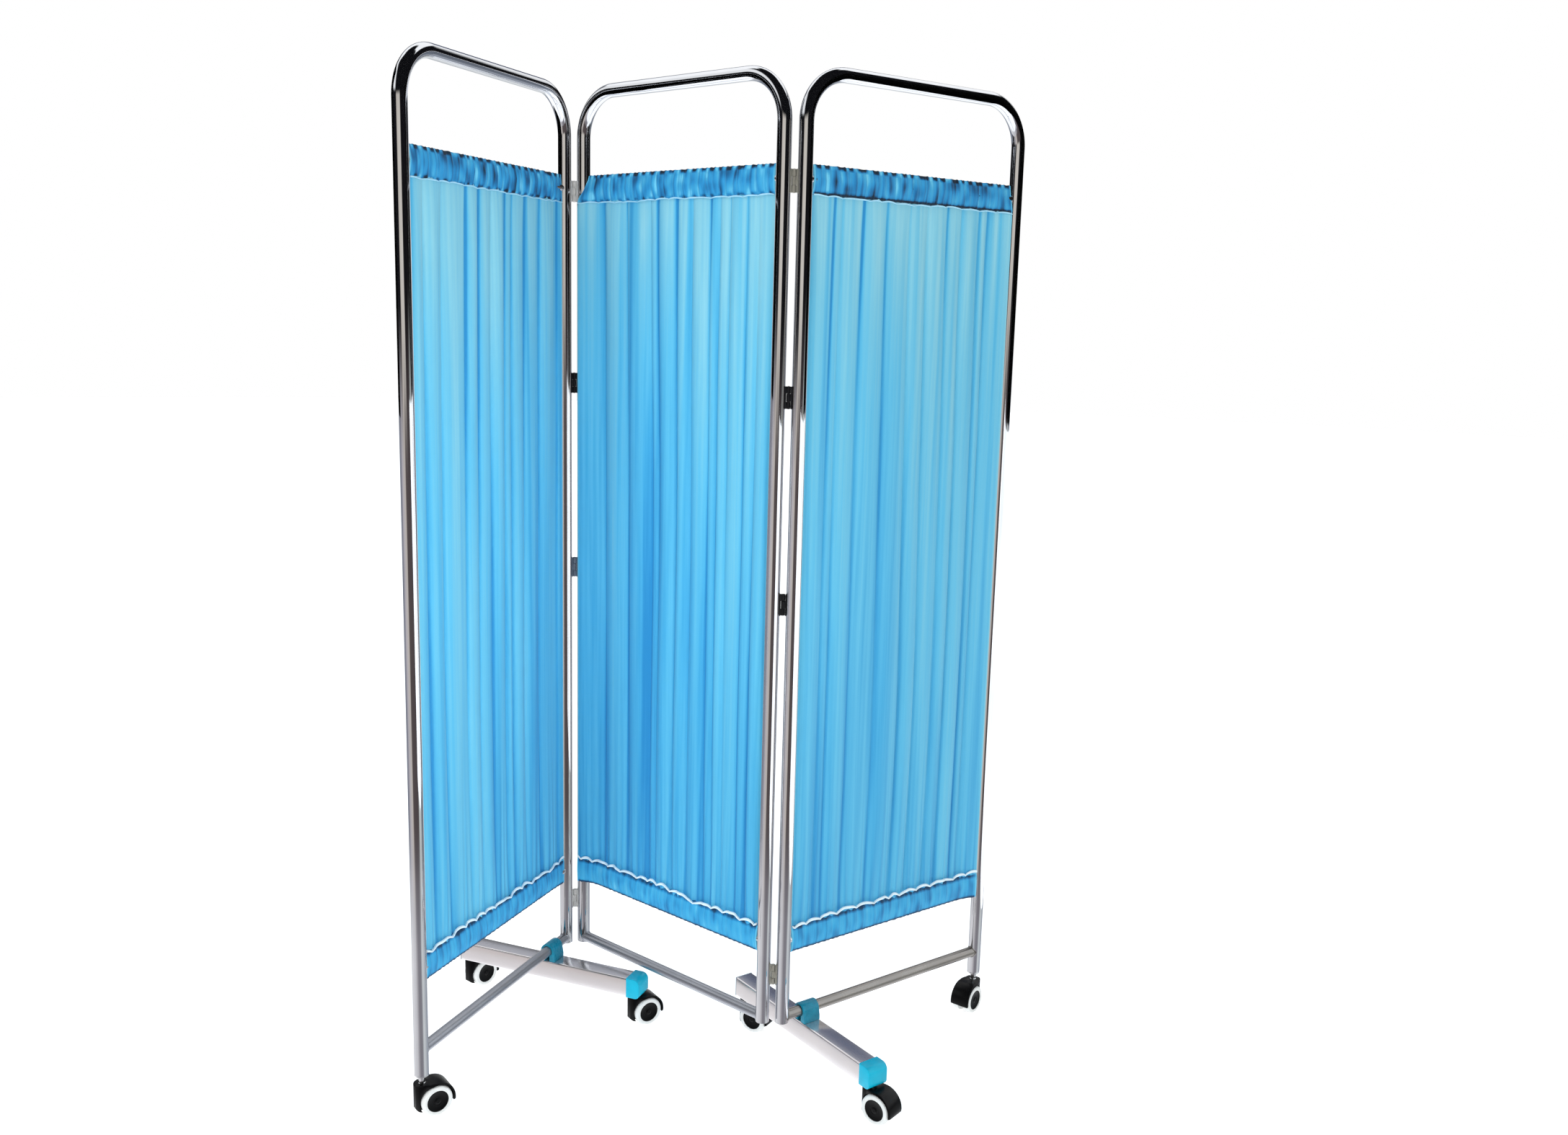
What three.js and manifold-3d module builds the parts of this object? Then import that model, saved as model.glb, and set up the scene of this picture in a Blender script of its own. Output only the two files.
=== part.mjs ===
// Ward privacy screen on wheels: three hinged panels of bent tube with gathered curtains,
// two cross feet and six hooded twin wheel castors. Millimetres, +Z up, seen from the front along +Y.
// The model stands as the screen is set up in use, with both wings folded against the middle panel.

import * as THREE from 'three';
import { mergeVertices } from 'three/addons/utils/BufferGeometryUtils.js';
import Module from 'manifold-3d';

const wasm = await Module();
wasm.setup();

// Overall frame
const screenHeight = 1800;
const panelWidth = 490; // between post axes
const postRadius = 12.5;
const postWall = 1.5;
const postBoreDepth = 46;
const cornerRadius = 80; // centre line of the bent upper corners
const outerPostBottom = 79;

// Clearances
const seatGap = 0.3; // between two pieces that touch
const runningGap = 0.3; // around what turns
const cutOverrun = 2; // how far every cutter runs past the face it cuts

// Bottom rail and curtain rods
const railRadius = 10;
const railRise = 21; // from the top of the feet up to the rail's axis
const rodRadius = 4;
const ferruleRadius = 5.8;
const ferruleLength = 9;
const tunnelGap = 0.6; // between a rod and the casing around it

// Curtain
const headClearance = 159; // from the top of the frame down to the curtain
const curtainBottom = 246;
const bandHeight = 50; // heading band and hem band
const bandHalfThickness = 8;
const bandRipple = 1.4;
const bandEdgeTurn = 6; // height over which a band thins into the plain cloth
const clothHalfThickness = 1.3;
const foldDepth = 7; // of the main folds, each side of the panel's plane
const foldDrift = 9; // how far a fold wanders sideways on its way down
const curtainSideGap = 2; // between the curtain's edge and a post
const foldCount = 10;

// Hinges
const hingeReach = 18; // from a post's axis to the pin's axis
const hingeAngle = 43; // degrees from the panel's plane to the pin, seen from the post
const hingeHeight = 38;
const hingeDrop = 29; // from the curtain's top down to the centre of the top hinge
const lowestHinge = 205; // centre above the floor
const hingeShares = [1, 0.747, 0.4918, 0]; // of the height from the lowest hinge to the top one
const knuckleRadius = 3.7;
const knuckleEnd = 12; // length of each end knuckle
const pinRadius = 2;
const padInnerShare = 0.86; // of the knuckle's radius, where the pad meets the barrel
const padInnerHalfWidth = 2.8;
const padOuterHalfWidth = 4.7;

// Feet
const footSetback = 58; // from the inner post's axis to the foot's centre line
const footLength = 404;
const footShift = 2; // of the foot's middle behind the wing's plane
const footWidth = 38;
const footHeight = 38;
const footWall = 2;
const footCorner = 3;
const footTop = 102;
const capLength = 20;
const capWall = 1.6;
const capEndWall = 8;
const capTopRound = 12;
const capBottomRound = 9;
const capEdge = 1.2;
const plugPlate = 2.5;
const plugDepth = 6.5;
const saddleLength = 36; // along the rail
const saddleBaseHalfWidth = 17;
const saddleWall = 4.2;
const saddleShoulder = 8; // height of the saddle's straight lower flanks
const saddleSlotHalfWidth = 5;
const saddleEdge = 1;

// Castors
const castorFrontInset = 10; // from the foot's front end to the stem
const castorRearInset = 14; // from the foot's rear end to the stem
const wheelRadius = 28;
const wheelWidth = 13.4;
const wheelEdge = 2.4;
const wheelSides = 24;
const hubRadius = 19.5;
const hubRecess = 1.2;
const axleRadius = 3;
const swivelTrail = 21; // from the stem's axis to the axle
const wheelSideGap = 0.6;
const stemRadius = 4;
const bossWall = 1.7;
const hoodGap = 2; // between wheel and mudguard
const hoodWall = 3.3;
const hoodHalfWidth = 20;
const hoodEdge = 2.4;
const hoodRearAngle = -9; // degrees of the mudguard's rear end from the level of the axle
const noseRadius = 15; // the hood's front is round about the stem in plan
const noseBottom = 13;
const noseRound = 8; // of the hood's lower front corner
const noseEdge = 2;
const webBottom = 13;
const webBottomHalfWidth = 9;
const stemNeckRadius = 6;
const collarThickness = 2.7;
const sleeveDepth = 30;
const washerRadius = 10;
const washerThickness = 2;
const nutRadius = 8;
const nutHeight = 6;

// Stance: degrees each wing is turned from the line of the middle panel, and of the middle panel itself
const leftFold = 108.5;
const rightFold = 76.5;
const middleYaw = -39.9;
// Degrees in the plan at which each castor trails
const castorYaws = {
  left_outer: 36,
  left_front: 35,
  left_rear: 50,
  right_front: 322,
  right_rear: 330,
  right_outer: 233,
};

// Facets of round forms
const postSides = 20;
const bendSteps = 6;
const railSides = 16;
const rodSides = 10;
const knuckleSides = 12;
const smallSides = 8;
const stemSides = 12;
const cavitySides = 24;
const arcSteps = 7;
const edgeSteps = 2;

// Derived sizes
const topBarHeight = screenHeight - postRadius;
const railHeight = footTop + railRise;
const innerPostBottom = railHeight - railRadius;
const curtainTop = screenHeight - headClearance;
const topHinge = curtainTop - hingeDrop;
const hingeLevels = hingeShares.map((share) => lowestHinge + share * (topHinge - lowestHinge));
const hoodInnerRadius = wheelRadius + hoodGap;
const hoodOuterRadius = hoodInnerRadius + hoodWall;
const axleHeight = wheelRadius * Math.cos(Math.PI / wheelSides);
const bossRadius = stemRadius + runningGap + bossWall;
const wheelInnerFace = bossRadius + wheelSideGap;
const wheelOuterFace = wheelInnerFace + wheelWidth;
const hoodTop = axleHeight + hoodOuterRadius;
const footBottom = footTop - footHeight;
const hingeAngleRad = THREE.MathUtils.degToRad(hingeAngle);
const pinAlong = hingeReach * Math.cos(hingeAngleRad);
const pinAside = hingeReach * Math.sin(hingeAngleRad);

// Colours and finishes
const finishes = {
  tube: { color: 0xc6cad0, metalness: 1, roughness: 0.16 },
  rod: { color: 0xb9bdc2, metalness: 1, roughness: 0.35 },
  hingeBright: { color: 0xa9aaa2, metalness: 1, roughness: 0.38 },
  hingeBlack: { color: 0x15161a, metalness: 0.4, roughness: 0.45 },
  beam: { color: 0xc3c2c8, metalness: 1, roughness: 0.4 },
  teal: { color: 0x1fa9c8, metalness: 0, roughness: 0.4 },
  plug: { color: 0x9aa5ab, metalness: 0, roughness: 0.6 },
  black: { color: 0x0b0b0d, metalness: 0, roughness: 0.38 },
  wheel: { color: 0xe4e5e3, metalness: 0, roughness: 0.55 },
  steel: { color: 0xb4b7bb, metalness: 1, roughness: 0.3 },
  curtain: { color: 0x5fbce8, metalness: 0, roughness: 0.85 },
};

// Closed solid for cutting and joining
function solidOf(geometry) {
  const bare = geometry.clone();
  bare.deleteAttribute('normal');
  bare.deleteAttribute('uv');
  const merged = mergeVertices(bare);
  const positions = new Float32Array(merged.attributes.position.array);
  const triangles = new Uint32Array(merged.index.array);
  return new wasm.Manifold(new wasm.Mesh({ numProp: 3, vertProperties: positions, triVerts: triangles }));
}

// Solid back to a geometry
function geometryOf(solid) {
  const mesh = solid.getMesh();
  const geometry = new THREE.BufferGeometry();
  const positions = new Float32Array(mesh.numVert * 3);
  for (let i = 0; i < mesh.numVert; i += 1) {
    for (let k = 0; k < 3; k += 1) {
      positions[i * 3 + k] = mesh.vertProperties[i * mesh.numProp + k];
    }
  }
  geometry.setAttribute('position', new THREE.BufferAttribute(positions, 3));
  geometry.setIndex(new THREE.BufferAttribute(new Uint32Array(mesh.triVerts), 1));
  const flat = geometry.toNonIndexed();
  flat.computeVertexNormals();
  return flat;
}

function join(first, ...others) {
  let solid = solidOf(first);
  for (const other of others) {
    solid = solid.add(solidOf(other));
  }
  return geometryOf(solid);
}

function common(first, second) {
  return geometryOf(solidOf(first).intersect(solidOf(second)));
}

function cut(body, ...cutters) {
  let solid = solidOf(body);
  for (const cutter of cutters) {
    solid = solid.subtract(solidOf(cutter));
  }
  return geometryOf(solid);
}

// Upright cylinder between two heights
function uprightCylinder(radius, bottom, top, sides) {
  const geometry = new THREE.CylinderGeometry(radius, radius, top - bottom, sides);
  geometry.rotateX(Math.PI / 2);
  geometry.translate(0, 0, (bottom + top) / 2);
  return geometry;
}

// Cylinder lying along X between two places
function lyingCylinderX(radius, start, end, sides) {
  const geometry = new THREE.CylinderGeometry(radius, radius, end - start, sides);
  geometry.rotateZ(-Math.PI / 2);
  geometry.translate((start + end) / 2, 0, 0);
  return geometry;
}

// Cylinder lying along Y, centred on the plane Y = 0
function lyingCylinderY(radius, halfLength, sides) {
  return new THREE.CylinderGeometry(radius, radius, halfLength * 2, sides);
}

// Outline in X and Z pushed out along Y, centred on the plane Y = 0
function pushedAcross(shape, halfWidth, edge) {
  const depth = (halfWidth - edge) * 2;
  const geometry = new THREE.ExtrudeGeometry(shape, {
    depth,
    steps: 1,
    curveSegments: arcSteps,
    bevelEnabled: edge > 0,
    bevelThickness: edge,
    bevelSize: edge,
    bevelOffset: -edge,
    bevelSegments: edgeSteps,
  });
  geometry.translate(0, 0, -depth / 2);
  geometry.rotateX(Math.PI / 2);
  return geometry;
}

// Outline in Y and Z pushed out along X, centred on the plane X = 0
function pushedAlong(shape, halfLength, edge) {
  const geometry = pushedAcross(shape, halfLength, edge);
  geometry.rotateZ(Math.PI / 2);
  return geometry;
}

function circleOutline(radius, sides) {
  const points = [];
  for (let i = 0; i < sides; i += 1) {
    const angle = (i / sides) * Math.PI * 2;
    points.push(new THREE.Vector2(Math.cos(angle) * radius, Math.sin(angle) * radius));
  }
  return new THREE.Shape(points);
}

function roundedOutline(width, height, radius) {
  const shape = new THREE.Shape();
  const x = width / 2;
  const y = height / 2;
  shape.moveTo(-x + radius, -y);
  shape.lineTo(x - radius, -y);
  shape.absarc(x - radius, -y + radius, radius, -Math.PI / 2, 0, false);
  shape.lineTo(x, y - radius);
  shape.absarc(x - radius, y - radius, radius, 0, Math.PI / 2, false);
  shape.lineTo(-x + radius, y);
  shape.absarc(-x + radius, y - radius, radius, Math.PI / 2, Math.PI, false);
  shape.lineTo(-x, -y + radius);
  shape.absarc(-x + radius, -y + radius, radius, Math.PI, Math.PI * 1.5, false);
  return shape;
}

// Path of straight runs and bends that keeps its stations where they are given
class StationPath extends THREE.Curve {
  constructor(stations) {
    super();
    this.stations = stations;
  }

  station(t) {
    const last = this.stations.length - 1;
    return this.stations[Math.min(last, Math.max(0, Math.round(t * last)))];
  }

  getPoint(t, target = new THREE.Vector3()) {
    return target.copy(this.station(t).point);
  }

  getTangent(t, target = new THREE.Vector3()) {
    return target.copy(this.station(t).tangent);
  }

  getUtoTmapping(u) {
    return u;
  }
}

// Stations of the upside down U: up one post, over the top bar and down the other post
function frameStations(bottomA, bottomB) {
  const stations = [{ point: new THREE.Vector3(0, 0, bottomA), tangent: new THREE.Vector3(0, 0, 1) }];
  for (const corner of [0, 1]) {
    const centreX = corner === 0 ? cornerRadius : panelWidth - cornerRadius;
    for (let i = 0; i <= bendSteps; i += 1) {
      const angle = Math.PI - ((corner + i / bendSteps) * Math.PI) / 2;
      const point = new THREE.Vector3(
        centreX + Math.cos(angle) * cornerRadius,
        0,
        topBarHeight - cornerRadius + Math.sin(angle) * cornerRadius,
      );
      stations.push({ point, tangent: new THREE.Vector3(Math.sin(angle), 0, -Math.cos(angle)) });
    }
  }
  stations.push({ point: new THREE.Vector3(panelWidth, 0, bottomB), tangent: new THREE.Vector3(0, 0, -1) });
  return stations;
}

function frameTubeGeometry(bottomA, bottomB) {
  const stations = frameStations(bottomA, bottomB);
  const tube = new THREE.ExtrudeGeometry(circleOutline(postRadius, postSides), {
    steps: stations.length - 1,
    extrudePath: new StationPath(stations),
    bevelEnabled: false,
  });
  const boreRadius = postRadius - postWall;
  const boreA = uprightCylinder(boreRadius, bottomA - cutOverrun, bottomA + postBoreDepth, postSides);
  const boreB = uprightCylinder(boreRadius, bottomB - cutOverrun, bottomB + postBoreDepth, postSides);
  boreB.translate(panelWidth, 0, 0);
  return cut(tube, boreA, boreB);
}

// Cutters in the shape of both posts with the seat gap around them
function postCutters(bottom, top) {
  const cutters = [];
  for (const x of [0, panelWidth]) {
    const cutter = uprightCylinder(postRadius + seatGap, bottom, top, postSides);
    cutter.translate(x, 0, 0);
    cutters.push(cutter);
  }
  return cutters;
}

// Rail or rod from post to post with its ends hollowed to sit on the posts
function crossBarGeometry(radius, height, sides, endRadius, endLength) {
  const reach = postRadius / 2;
  let bar = lyingCylinderX(radius, reach, panelWidth - reach, sides);
  if (endLength > 0) {
    const endA = lyingCylinderX(endRadius, reach, postRadius + endLength, sides);
    const endB = lyingCylinderX(endRadius, panelWidth - postRadius - endLength, panelWidth - reach, sides);
    bar = join(bar, endA, endB);
  }
  bar.translate(0, 0, height);
  const tallest = Math.max(radius, endRadius) + cutOverrun;
  return cut(bar, ...postCutters(height - tallest, height + tallest));
}

// Heights of the curtain's rows from hem to heading
function curtainRows() {
  const middle = (curtainTop + curtainBottom) / 2;
  return [
    curtainBottom,
    curtainBottom + bandHeight,
    curtainBottom + bandHeight + bandEdgeTurn,
    middle,
    curtainTop - bandHeight - bandEdgeTurn,
    curtainTop - bandHeight,
    curtainTop,
  ];
}

// Gathered curtain: plain cloth in vertical folds between two thicker bands that hold the rods
function curtainGeometry(phase) {
  const rows = curtainRows();
  const sideInset = postRadius + curtainSideGap;
  const width = panelWidth - sideInset * 2;
  const columns = foldCount * 4;
  const cloth = new THREE.BoxGeometry(1, 1, 1, columns, 1, rows.length - 1);
  const places = cloth.attributes.position;
  for (let i = 0; i < places.count; i += 1) {
    const across = places.getX(i) + 0.5;
    const side = Math.sign(places.getY(i));
    const row = Math.round((places.getZ(i) + 0.5) * (rows.length - 1));
    const banded = row < 2 || row > rows.length - 3;
    const fold = across * foldCount * Math.PI * 2 + phase;
    const wander = Math.sin(across * Math.PI * 3 + row + phase) * Math.sin(across * Math.PI) * foldDrift;
    const swing = Math.sin(fold) + Math.sin(fold * 0.53 + phase * 2) * 0.3;
    const bandY = side * (bandHalfThickness + Math.cos(fold) * bandRipple);
    const clothY = swing * foldDepth + side * clothHalfThickness;
    const wanderX = banded ? 0 : wander;
    places.setXYZ(i, sideInset + across * width + wanderX, banded ? bandY : clothY, rows[row]);
  }
  const ends = lyingCylinderX(ferruleRadius + tunnelGap, 0, postRadius + ferruleLength + tunnelGap, rodSides);
  const farEnds = ends.clone().translate(panelWidth - postRadius - ferruleLength - tunnelGap, 0, 0);
  const tunnel = lyingCylinderX(rodRadius + tunnelGap, 0, panelWidth, rodSides);
  const cutters = [];
  for (const height of rodHeights()) {
    for (const piece of [ends, farEnds, tunnel]) {
      cutters.push(piece.clone().translate(0, 0, height));
    }
  }
  return cut(cloth, ...cutters);
}

// The rods run in the middle of the hem band and the heading band
function rodHeights() {
  return [curtainBottom + bandHeight / 2, curtainTop - bandHeight / 2];
}

// Pad that seats a hinge leaf on its post; the pin's axis is the origin and the post lies towards -X
function hingePadGeometry() {
  const inner = -knuckleRadius * padInnerShare;
  const outer = postRadius / 2 - hingeReach;
  const widening = (padOuterHalfWidth - padInnerHalfWidth) / (inner + hingeReach - postRadius);
  const outerHalfWidth = padInnerHalfWidth + widening * (inner - outer);
  const outline = new THREE.Shape([
    new THREE.Vector2(inner, -padInnerHalfWidth),
    new THREE.Vector2(inner, padInnerHalfWidth),
    new THREE.Vector2(outer, outerHalfWidth),
    new THREE.Vector2(outer, -outerHalfWidth),
  ]);
  const pad = new THREE.ExtrudeGeometry(outline, { depth: hingeHeight, steps: 1, bevelEnabled: false });
  pad.translate(0, 0, -hingeHeight / 2);
  const reach = hingeHeight / 2 + cutOverrun;
  const post = uprightCylinder(postRadius + seatGap, -reach, reach, postSides);
  post.translate(-hingeReach, 0, 0);
  return cut(pad, post);
}

// Leaf with both end knuckles and the pin through them
function pinLeafGeometry() {
  const half = hingeHeight / 2;
  const middle = half - knuckleEnd;
  const clear = uprightCylinder(knuckleRadius + runningGap, -middle, middle, knuckleSides);
  const pad = cut(hingePadGeometry(), clear);
  const lower = uprightCylinder(knuckleRadius, -half, -middle, knuckleSides);
  const upper = uprightCylinder(knuckleRadius, middle, half, knuckleSides);
  const pin = uprightCylinder(pinRadius, -half, half, smallSides);
  return join(pad, lower, upper, pin);
}

// Leaf with the middle knuckle, bored for the pin
function knuckleLeafGeometry() {
  const half = hingeHeight / 2;
  const middle = half - knuckleEnd - runningGap;
  const clear = middle + runningGap;
  const clearUpper = uprightCylinder(knuckleRadius + runningGap, middle, half + cutOverrun, knuckleSides);
  const clearLower = uprightCylinder(knuckleRadius + runningGap, -half - cutOverrun, -middle, knuckleSides);
  const knuckle = uprightCylinder(knuckleRadius, -middle, middle, knuckleSides);
  const body = join(cut(hingePadGeometry(), clearUpper, clearLower), knuckle);
  return cut(body, uprightCylinder(pinRadius + runningGap, -clear - cutOverrun, clear + cutOverrun, smallSides));
}

// Where the two stems stand along the foot, front and rear, from its middle
function footStemPlaces() {
  return [castorFrontInset - footLength / 2, footLength / 2 - castorRearInset];
}

// Square tube across under the wing, lying along Y, with a bolt hole for each castor
function footBeamGeometry() {
  const outline = roundedOutline(footWidth, footHeight, footCorner);
  outline.holes.push(roundedOutline(footWidth - footWall * 2, footHeight - footWall * 2, footCorner - footWall / 2));
  const beam = new THREE.ExtrudeGeometry(outline, {
    depth: footLength,
    steps: 1,
    curveSegments: 2,
    bevelEnabled: false,
  });
  beam.translate(0, 0, -footLength / 2);
  beam.rotateX(Math.PI / 2);
  beam.translate(0, 0, footTop - footHeight / 2);
  const holes = [];
  for (const place of footStemPlaces()) {
    const hole = uprightCylinder(
      stemRadius + runningGap,
      footBottom - cutOverrun,
      footBottom + footWall + cutOverrun,
      stemSides,
    );
    hole.translate(0, place, 0);
    holes.push(hole);
  }
  return cut(beam, ...holes);
}

// Moulded cap over the foot's front end: top, two sides and a rounded end; the end faces -Y
function footCapGeometry() {
  const top = footHeight + seatGap + capWall;
  const front = -seatGap - capEndWall;
  const back = capLength;
  const outline = new THREE.Shape();
  outline.moveTo(back, 0);
  outline.lineTo(back, top);
  outline.lineTo(front + capTopRound, top);
  outline.absarc(front + capTopRound, top - capTopRound, capTopRound, Math.PI / 2, Math.PI, false);
  outline.absarc(front + capBottomRound, capBottomRound, capBottomRound, Math.PI, Math.PI * 1.5, false);
  outline.closePath();
  const halfWidth = footWidth / 2 + seatGap + capWall;
  const shell = pushedAcross(outline, halfWidth, capEdge);
  const hollow = new THREE.BoxGeometry(
    back + seatGap + cutOverrun,
    footWidth + seatGap * 2,
    footHeight + seatGap + cutOverrun,
  );
  hollow.translate((back + cutOverrun - seatGap) / 2, 0, (footHeight + seatGap - cutOverrun) / 2);
  const cap = cut(shell, hollow);
  cap.rotateZ(Math.PI / 2);
  cap.translate(0, -footLength / 2, footBottom);
  return cap;
}

// Plug in the foot's rear end, facing +Y
function footPlugGeometry() {
  const face = roundedOutline(footWidth, footHeight, footCorner);
  const plate = new THREE.ExtrudeGeometry(face, { depth: plugPlate, steps: 1, curveSegments: 2, bevelEnabled: false });
  const bodyWidth = footWidth - (footWall + seatGap) * 2;
  const bodyHeight = footHeight - (footWall + seatGap) * 2;
  const bodyFace = roundedOutline(bodyWidth, bodyHeight, footCorner);
  const body = new THREE.ExtrudeGeometry(bodyFace, { depth: plugDepth, steps: 1, curveSegments: 1, bevelEnabled: false });
  body.translate(0, 0, plugPlate - plugDepth);
  const well = new THREE.BoxGeometry(bodyWidth - footWall * 2, bodyHeight - footWall * 2, plugDepth - plugPlate);
  well.translate(0, 0, -plugDepth / 2 + plugPlate / 2 - footWall / 2);
  const plug = join(plate, cut(body, well));
  plug.rotateX(-Math.PI / 2);
  plug.translate(0, footLength / 2 + seatGap, footTop - footHeight / 2);
  return plug;
}

// Saddle clip that stands on the foot and snaps over the rail, which runs along X
function footSaddleGeometry() {
  const bottom = footTop + seatGap - railHeight;
  const holeRadius = railRadius + seatGap;
  const archRadius = holeRadius + saddleWall;
  const slotAngle = Math.asin(saddleSlotHalfWidth / holeRadius);
  const outline = new THREE.Shape();
  outline.moveTo(saddleSlotHalfWidth, bottom);
  outline.lineTo(saddleBaseHalfWidth, bottom);
  outline.lineTo(saddleBaseHalfWidth, bottom + saddleShoulder);
  outline.lineTo(archRadius, 0);
  outline.absarc(0, 0, archRadius, 0, Math.PI, false);
  outline.lineTo(-saddleBaseHalfWidth, bottom + saddleShoulder);
  outline.lineTo(-saddleBaseHalfWidth, bottom);
  outline.lineTo(-saddleSlotHalfWidth, bottom);
  outline.absarc(0, 0, holeRadius, Math.PI * 1.5 - slotAngle, -Math.PI / 2 + slotAngle, true);
  outline.closePath();
  const saddle = pushedAlong(outline, saddleLength / 2, 0);
  saddle.translate(0, 0, railHeight);
  return saddle;
}

// Wheel pair on its axle, turned about Y, with a flat facet underneath
function wheelPairGeometry() {
  const rim = wheelRadius - wheelEdge;
  const wheelProfile = [
    [0, wheelInnerFace],
    [wheelRadius, wheelInnerFace],
    [wheelRadius, wheelOuterFace - wheelEdge],
    [rim, wheelOuterFace],
    [hubRadius, wheelOuterFace],
    [hubRadius, wheelOuterFace - hubRecess],
    [0, wheelOuterFace - hubRecess],
  ].map(([radius, across]) => new THREE.Vector2(radius, across));
  const wheel = new THREE.LatheGeometry(wheelProfile, wheelSides, Math.PI / wheelSides);
  const other = wheel.clone().rotateX(Math.PI);
  const axle = lyingCylinderY(axleRadius, wheelInnerFace + wheelWidth / 2, smallSides);
  return join(wheel, other, axle);
}

// Side outline of the hood: rear end, dome over the wheels, level top at the stem, nose and web bottom
function hoodOutline() {
  const rear = THREE.MathUtils.degToRad(hoodRearAngle);
  const outline = new THREE.Shape();
  outline.absarc(swivelTrail, axleHeight, hoodOuterRadius, rear, Math.PI / 2, false);
  outline.lineTo(-noseRadius + noseEdge, hoodTop);
  outline.lineTo(-noseRadius, hoodTop - noseEdge);
  outline.lineTo(-noseRadius, noseBottom + noseRound);
  outline.absarc(noseRound - noseRadius, noseBottom + noseRound, noseRound, Math.PI, Math.PI * 1.5, false);
  outline.lineTo(swivelTrail - webBottomHalfWidth, webBottom);
  outline.lineTo(swivelTrail + webBottomHalfWidth, webBottom);
  outline.closePath();
  return outline;
}

// Plan of the hood, round about the stem in front and square at the rear, as an upright block
function hoodPlanBlock() {
  const rear = swivelTrail + hoodOuterRadius + cutOverrun;
  const shoulder = Math.sqrt(swivelTrail ** 2 - noseRadius ** 2);
  const outline = new THREE.Shape();
  outline.absarc(0, 0, noseRadius, Math.PI / 2, Math.PI * 1.5, false);
  outline.lineTo(shoulder, -hoodHalfWidth);
  outline.lineTo(rear, -hoodHalfWidth);
  outline.lineTo(rear, hoodHalfWidth);
  outline.lineTo(shoulder, hoodHalfWidth);
  outline.closePath();
  const height = hoodTop + cutOverrun;
  return new THREE.ExtrudeGeometry(outline, { depth: height, steps: 1, curveSegments: arcSteps, bevelEnabled: false });
}

// Moulded hood; the stem's axis is the origin and the wheels trail towards +X
function hoodGeometry() {
  const block = common(pushedAcross(hoodOutline(), hoodHalfWidth, hoodEdge), hoodPlanBlock());
  const cavities = [];
  for (const side of [-1, 1]) {
    const cavity = lyingCylinderY(hoodInnerRadius, hoodHalfWidth / 2, cavitySides);
    cavity.translate(swivelTrail, side * (bossRadius + hoodHalfWidth / 2), axleHeight);
    cavities.push(cavity);
  }
  const stemBore = uprightCylinder(
    stemRadius + runningGap,
    noseBottom + hoodWall,
    hoodTop + cutOverrun,
    stemSides,
  );
  const axleBore = lyingCylinderY(axleRadius + runningGap, hoodHalfWidth, smallSides);
  axleBore.translate(swivelTrail, 0, axleHeight);
  return cut(block, ...cavities, stemBore, axleBore);
}

// Turned profile about the stem's axis from radius and height pairs
function turned(pairs) {
  const geometry = new THREE.LatheGeometry(pairs.map(([r, z]) => new THREE.Vector2(r, z)), stemSides);
  geometry.rotateX(Math.PI / 2);
  return geometry;
}

// Where the stem ends inside the hood's boss
function stemFoot() {
  return noseBottom + hoodWall + runningGap;
}

// Stem for a post: sleeve in the tube, collar under its end, neck and shank
function postStemGeometry() {
  const sleeveRadius = postRadius - postWall - seatGap;
  const collarTop = outerPostBottom - seatGap;
  const collarBottom = collarTop - collarThickness;
  const neckBottom = hoodTop;
  return turned([
    [0, stemFoot()],
    [stemRadius, stemFoot()],
    [stemRadius, neckBottom],
    [stemNeckRadius, neckBottom],
    [stemNeckRadius, collarBottom],
    [postRadius, collarBottom],
    [postRadius, collarTop],
    [sleeveRadius, collarTop],
    [sleeveRadius, collarTop + sleeveDepth],
    [0, collarTop + sleeveDepth],
  ]);
}

// Stem for a foot: washer under the beam, bolt through its wall and a nut inside
function footStemGeometry() {
  const washerTop = footBottom - seatGap;
  const nutBottom = footBottom + footWall + seatGap;
  const shank = turned([
    [0, stemFoot()],
    [stemRadius, stemFoot()],
    [stemRadius, washerTop - washerThickness],
    [washerRadius, washerTop - washerThickness],
    [washerRadius, washerTop],
    [stemRadius, washerTop],
    [stemRadius, nutBottom + nutHeight + washerThickness],
    [0, nutBottom + nutHeight + washerThickness],
  ]);
  return join(shank, uprightCylinder(nutRadius, nutBottom, nutBottom + nutHeight, 6));
}

function pieceMesh(name, geometry, finish) {
  const mesh = new THREE.Mesh(geometry, new THREE.MeshStandardMaterial(finishes[finish]));
  mesh.name = name;
  return mesh;
}

// Frame, rail, rods and curtain of one panel; posts at X = 0 and X = panelWidth
function buildPanel(side, bottomA, bottomB, phase) {
  const panel = new THREE.Group();
  const [lowerRod, upperRod] = rodHeights();
  const rail = crossBarGeometry(railRadius, railHeight, railSides, railRadius, 0);
  panel.add(pieceMesh(`frame_tube_${side}`, frameTubeGeometry(bottomA, bottomB), 'tube'));
  panel.add(pieceMesh(`bottom_rail_${side}`, rail, 'tube'));
  for (const [level, height] of [['upper', upperRod], ['lower', lowerRod]]) {
    const rod = crossBarGeometry(rodRadius, height, rodSides, ferruleRadius, ferruleLength);
    panel.add(pieceMesh(`curtain_rod_${level}_${side}`, rod, 'rod'));
  }
  panel.add(pieceMesh(`curtain_${side}`, curtainGeometry(phase), 'curtain'));
  return panel;
}

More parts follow.
